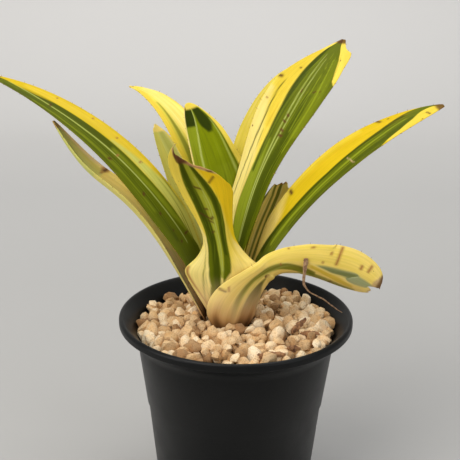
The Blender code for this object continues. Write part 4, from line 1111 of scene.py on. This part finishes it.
def make_strip(surface):
    """The dry strip that hangs from the recurved leaf to the pot's shoulder."""
    strip = ribbon("dried_strip_fibre", STRIP_ROUTE, (2.3, 2.2, 1.7, 1.1, 1.0, 0.9, 0.5),
                   (0.8, 0.6, 0.5, 0.5, 0.4), (0, 15, 40, 90, 60, 100), surface, wrinkle=0.12)
    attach(strip, "root")
    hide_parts("dried_strip")


def studio():
    """A pale seamless floor and backdrop with painted shade that darkens it towards the front, soft lamps,
    and the camera.
    """
    scene = bpy.context.scene
    made, tree, shader = new_finish("studio_paper")
    where = node(tree, "TexCoord").outputs["Object"]
    # Painted shade: the paper's colour runs from darker at the front to lighter at the back, standing in for
    # the lamps' light falling off
    depth = mapped(tree, node(tree, "SeparateXYZ", {"Vector": where}).outputs["Y"], 0.3, 1.3, 0.0, 1.0)
    paper_with_painted_falloff = ramp(
        tree, depth, (0.0, (0.40, 0.395, 0.38)), (0.3, (0.435, 0.43, 0.415)), (1.0, (0.60, 0.59, 0.57)))
    colour = shaded(tree, 1.0, paper_with_painted_falloff, noise(tree, 1.3, 1.0), 0.3, (0.95, 0.95, 0.95), 0.7)
    feed(shader, {"Base Color": colour, "Roughness": 0.9})
    bend = arc(PAPER_BEND, BEND_RADIUS, BEND_RADIUS, -90, 0, 24)
    line = np.concatenate([[(PAPER_FRONT, 0.0)], bend, [(PAPER_BEND + BEND_RADIUS, PAPER_TOP)]])
    across = np.array([[-PAPER_HALF, PAPER_HALF]])
    points = np.stack(np.broadcast_arrays(across, line[:, :1], line[:, 1:]), axis=-1)
    k = np.arange(len(line) - 1) * 2
    quads = np.stack([k, k + 1, k + 3, k + 2], axis=1)
    floor = mesh_from("studio_floor", points.reshape(-1, 3), [quads], [made])
    for name, place, size, power, aim, tone in LAMPS:
        lamp = bpy.data.lights.new(name, "AREA")
        lamp.shape, lamp.size, lamp.energy, lamp.color = "SQUARE", size, power, tone
        lit = bpy.data.objects.new(name, lamp)
        scene.collection.objects.link(lit)
        x, y, z = place
        lit.location = place
        lit.rotation_euler = math.atan2(math.hypot(x, y), z - aim), 0.0, math.atan2(-y, -x) - math.pi / 2
    world = bpy.data.worlds.new("studio_air")
    world.use_nodes = True
    feed(world.node_tree.nodes["Background"], {"Color": (0.95, 0.96, 1.0, 1.0), "Strength": 0.45})
    scene.world = world
    scene.view_settings.view_transform = "Standard"
    lens = bpy.data.cameras.new("camera")
    lens.lens, lens.sensor_width, lens.sensor_fit = CAMERA_LENS, 36.0, "HORIZONTAL"
    lens.clip_start, lens.clip_end = 0.05, 20.0
    camera = bpy.data.objects.new("camera", lens)
    scene.collection.objects.link(camera)
    camera.matrix_world = (
        Matrix.Translation(CAMERA_PLACE) @ Matrix.Rotation(math.radians(90 - CAMERA_DOWN), 4, "X")
        @ Matrix.Rotation(math.radians(CAMERA_ROLL), 4, "Z"))
    scene.camera = camera


HORN = spine_finish()
LEAF_MIDDLES = [make_leaf(leaf_name, HORN) for leaf_name in LEAVES]
make_pot(plastic_finish())
# The bed's finish: dark brown soil colour that also serves as painted shade in the gaps between the grains
SOIL_AND_GAP_SHADE_FINISH = rough_finish(
    "bed_soil_and_painted_gap_shade", (0.03, 0.015, 0.006), (0.14, 0.075, 0.03), (500.0, 5.0, 0.5), 0.95, (0.8, 0.001), (0.3, 0.7))
make_gravel(pumice_finish(), SOIL_AND_GAP_SHADE_FINISH, LEAF_MIDDLES)
make_strip(rough_finish("dry_fibre", (0.20, 0.10, 0.045), (0.52, 0.33, 0.18), (700.0, 4.0, 0.65)))
make_bark(rough_finish("bark_chips", (0.10, 0.035, 0.012), (0.40, 0.20, 0.08), (420.0, 4.0, 0.65)))
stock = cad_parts["rootstock"]
stock.data.materials.clear()
stock.data.materials.append(
    rough_finish("root_bark", (0.07, 0.035, 0.015), (0.22, 0.12, 0.06), (500.0, 4.0, 0.65)))
studio()
